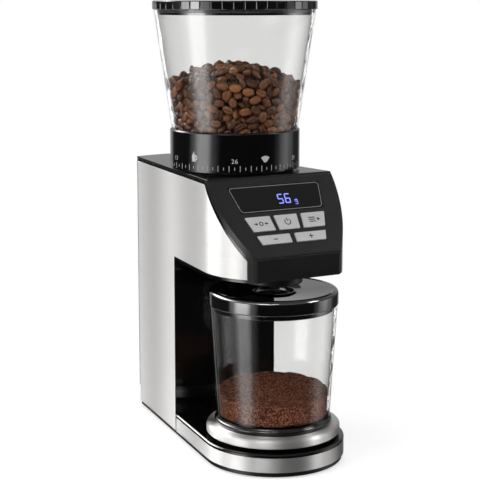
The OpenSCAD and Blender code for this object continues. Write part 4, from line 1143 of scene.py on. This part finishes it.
LOW_FROM, LOW_TO_MIDDLE = (-0.55, -0.15), (0.0, 0.1)
MIDDLE_TO_HIGH = (0.24, 0.34)
HIGH_TO_TOP = (0.5, 0.66)
LAMPS = {
    "lamp_left": {"azimuth": 85, "distance": 1.0, "height": 0.6, "size": (0.5, 0.9),
                  "radiance": 2.0},
    "lamp_right": {"azimuth": -60, "distance": 1.0, "height": 0.6, "size": (0.4, 0.9),
                   "radiance": 1.0},
    "lamp_front": {"azimuth": 25, "distance": 1.3, "height": 0.9, "size": (0.24, 0.24),
                   "radiance": 6.0},
    "lamp_top": {"azimuth": 120, "distance": 0.2, "height": 1.5, "size": (0.8, 0.8),
                 "radiance": 0.9},
}
LAMP_TARGET = (0, -0.03, 0.25)
SPARKLE = ("lamp_front",)


def make_lights():
    """Soft lamps. What shines in glossy surfaces is mostly the world's soft panels instead."""
    for name, box in LAMPS.items():
        a = math.radians(box["azimuth"])
        data = bpy.data.lights.new(name, "AREA")
        data.shape = "RECTANGLE"
        data.size, data.size_y = box["size"]
        data.energy = box["radiance"] * math.pi * data.size * data.size_y
        lamp = bpy.data.objects.new(name, data)
        lamp.location = (-box["distance"] * math.sin(a), -box["distance"] * math.cos(a),
                         box["height"])
        aim = Vector(LAMP_TARGET) - lamp.location
        lamp.rotation_euler = aim.to_track_quat("-Z", "Y").to_euler()
        lamp.visible_glossy = name in SPARKLE
        lamp.visible_transmission = False
        scene.collection.objects.link(lamp)


def ring_of_light(tree, share, levels):
    """Brightness round the object, from its value at some azimuths in degrees."""
    most = max(levels.values())
    ramp = node(tree, "ShaderNodeValToRGB", {"Fac": share})
    ramp.color_ramp.interpolation = "EASE"
    stops = sorted(levels.items())
    for degrees, _ in stops[1:-1]:
        ramp.color_ramp.elements.new((degrees + 180) / 360)
    for stop, (degrees, level) in zip(ramp.color_ramp.elements, stops):
        stop.position = (degrees + 180) / 360
        stop.color = (*(3 * [level / most]), 1)
    return math_node(tree, "MULTIPLY", ramp.outputs["Color"], most)


def band(tree, value, low, full, still_full, high):
    """1 between two values, going over to 0 on both sides."""
    return math_node(tree, "MULTIPLY", spread(tree, value, low, full, 0.0, 1.0),
                     spread(tree, value, still_full, high, 1.0, 0.0))


def reflected_panels(tree):
    """Brightness of what stands round the object in a studio: soft panels on both sides, low
    and high, darkness in front, pale cloth behind, the floor and a dim panel overhead."""
    towards = node(tree, "ShaderNodeSeparateXYZ",
                   {0: node(tree, "ShaderNodeTexCoord").outputs["Generated"]})
    x, y, z = (towards.outputs[k] for k in "XYZ")
    azimuth = math_node(tree, "ARCTAN2", math_node(tree, "MULTIPLY", x, -1.0),
                        math_node(tree, "MULTIPLY", y, -1.0))
    share = spread(tree, azimuth, -math.pi, math.pi, 0.0, 1.0)
    total = spread(tree, z, *HIGH_TO_TOP, 0.0, TOP_SHINE)
    for levels, from_z, to_z in ((SHINE_LOW, LOW_FROM, LOW_TO_MIDDLE),
                                 (SHINE_MIDDLE, LOW_TO_MIDDLE, MIDDLE_TO_HIGH),
                                 (SHINE_HIGH, MIDDLE_TO_HIGH, HIGH_TO_TOP),
                                 (SHINE_FLOOR, FLOOR_FROM, FLOOR_TO_LOW)):
        here = band(tree, z, *from_z, *to_z)
        part = math_node(tree, "MULTIPLY", here, ring_of_light(tree, share, levels))
        total = math_node(tree, "ADD", total, part)
    return total


def seen_directly(tree):
    """1 for what the camera sees itself or through clear plastic."""
    path = node(tree, "ShaderNodeLightPath")
    plain = math_node(tree, "LESS_THAN", path.outputs["Glossy Depth"], 0.5)
    through = math_node(tree, "MULTIPLY", path.outputs["Is Transmission Ray"], plain)
    return math_node(tree, "MAXIMUM", path.outputs["Is Camera Ray"], through), path


def make_world():
    world = bpy.data.worlds.new("studio")
    world.use_nodes = True
    scene.world = world
    tree = world.node_tree
    seen, path = seen_directly(tree)
    shiny = math_node(tree, "MAXIMUM", path.outputs["Is Glossy Ray"],
                      path.outputs["Is Transmission Ray"])
    glossy = node(tree, "ShaderNodeBackground", {"Strength": reflected_panels(tree)})
    plain = node(tree, "ShaderNodeBackground", {"Strength": WORLD_DIFFUSE})
    white = node(tree, "ShaderNodeBackground", {"Strength": 1.0})
    for light in (glossy, plain, white):
        light.inputs["Color"].default_value = (1, 1, 1, 1)
    first = node(tree, "ShaderNodeMixShader",
                 {0: shiny, 1: plain.outputs[0], 2: glossy.outputs[0]})
    second = node(tree, "ShaderNodeMixShader",
                  {0: seen, 1: first.outputs[0], 2: white.outputs[0]})
    tree.links.new(second.outputs[0], tree.nodes["World Output"].inputs["Surface"])


FLOOR_SIZE = 12.0
FLOOR_LIFT = 0.5
FLOOR_FADE = (0.22, 0.5)


def make_floor():
    """A pale floor that keeps the object's shadow and goes over into the white behind it. In
    glossy surfaces the world shows instead."""
    half = FLOOR_SIZE / 2
    floor = mesh_object("floor", [(-half, -half, 0), (half, -half, 0), (half, half, 0),
                                  (-half, half, 0)], [(0, 1, 2, 3)], shade=False)
    made, tree, shader = material("floor", {"Roughness": 0.9, "Specular IOR Level": 0.1})
    connect(tree, shader, Base_Color=blend_colors(tree, noise(tree, 3), (0.74, 0.74, 0.74),
                                                  (0.78, 0.78, 0.78)))
    here = node(tree, "ShaderNodeTexCoord").outputs["Object"]
    away = node(tree, "ShaderNodeVectorMath", {0: here}, operation="LENGTH").outputs["Value"]
    fade = spread(tree, away, *FLOOR_FADE, 0.0, 1.0)
    white = node(tree, "ShaderNodeEmission", {"Strength": 1.0})
    pale = node(tree, "ShaderNodeBsdfDiffuse", {"Color": (0.9, 0.9, 0.9, 1)})
    lift = node(tree, "ShaderNodeEmission", {"Strength": FLOOR_LIFT})
    near = node(tree, "ShaderNodeAddShader", {0: pale.outputs[0], 1: lift.outputs[0]})
    shown = node(tree, "ShaderNodeMixShader", {0: fade, 1: near.outputs[0], 2: white.outputs[0]})
    seen, path = seen_directly(tree)
    lit = node(tree, "ShaderNodeMixShader", {0: seen, 1: shader.outputs[0], 2: shown.outputs[0]})
    hidden = math_node(tree, "SUBTRACT", path.outputs["Is Glossy Ray"], seen)
    clear = node(tree, "ShaderNodeBsdfTransparent")
    mixed = node(tree, "ShaderNodeMixShader",
                 {0: hidden, 1: lit.outputs[0], 2: clear.outputs[0]})
    tree.links.new(mixed.outputs[0], tree.nodes["Material Output"].inputs["Surface"])
    floor.data.materials.append(made)


make_world()
make_floor()
make_lights()
scene.view_settings.view_transform = "Standard"
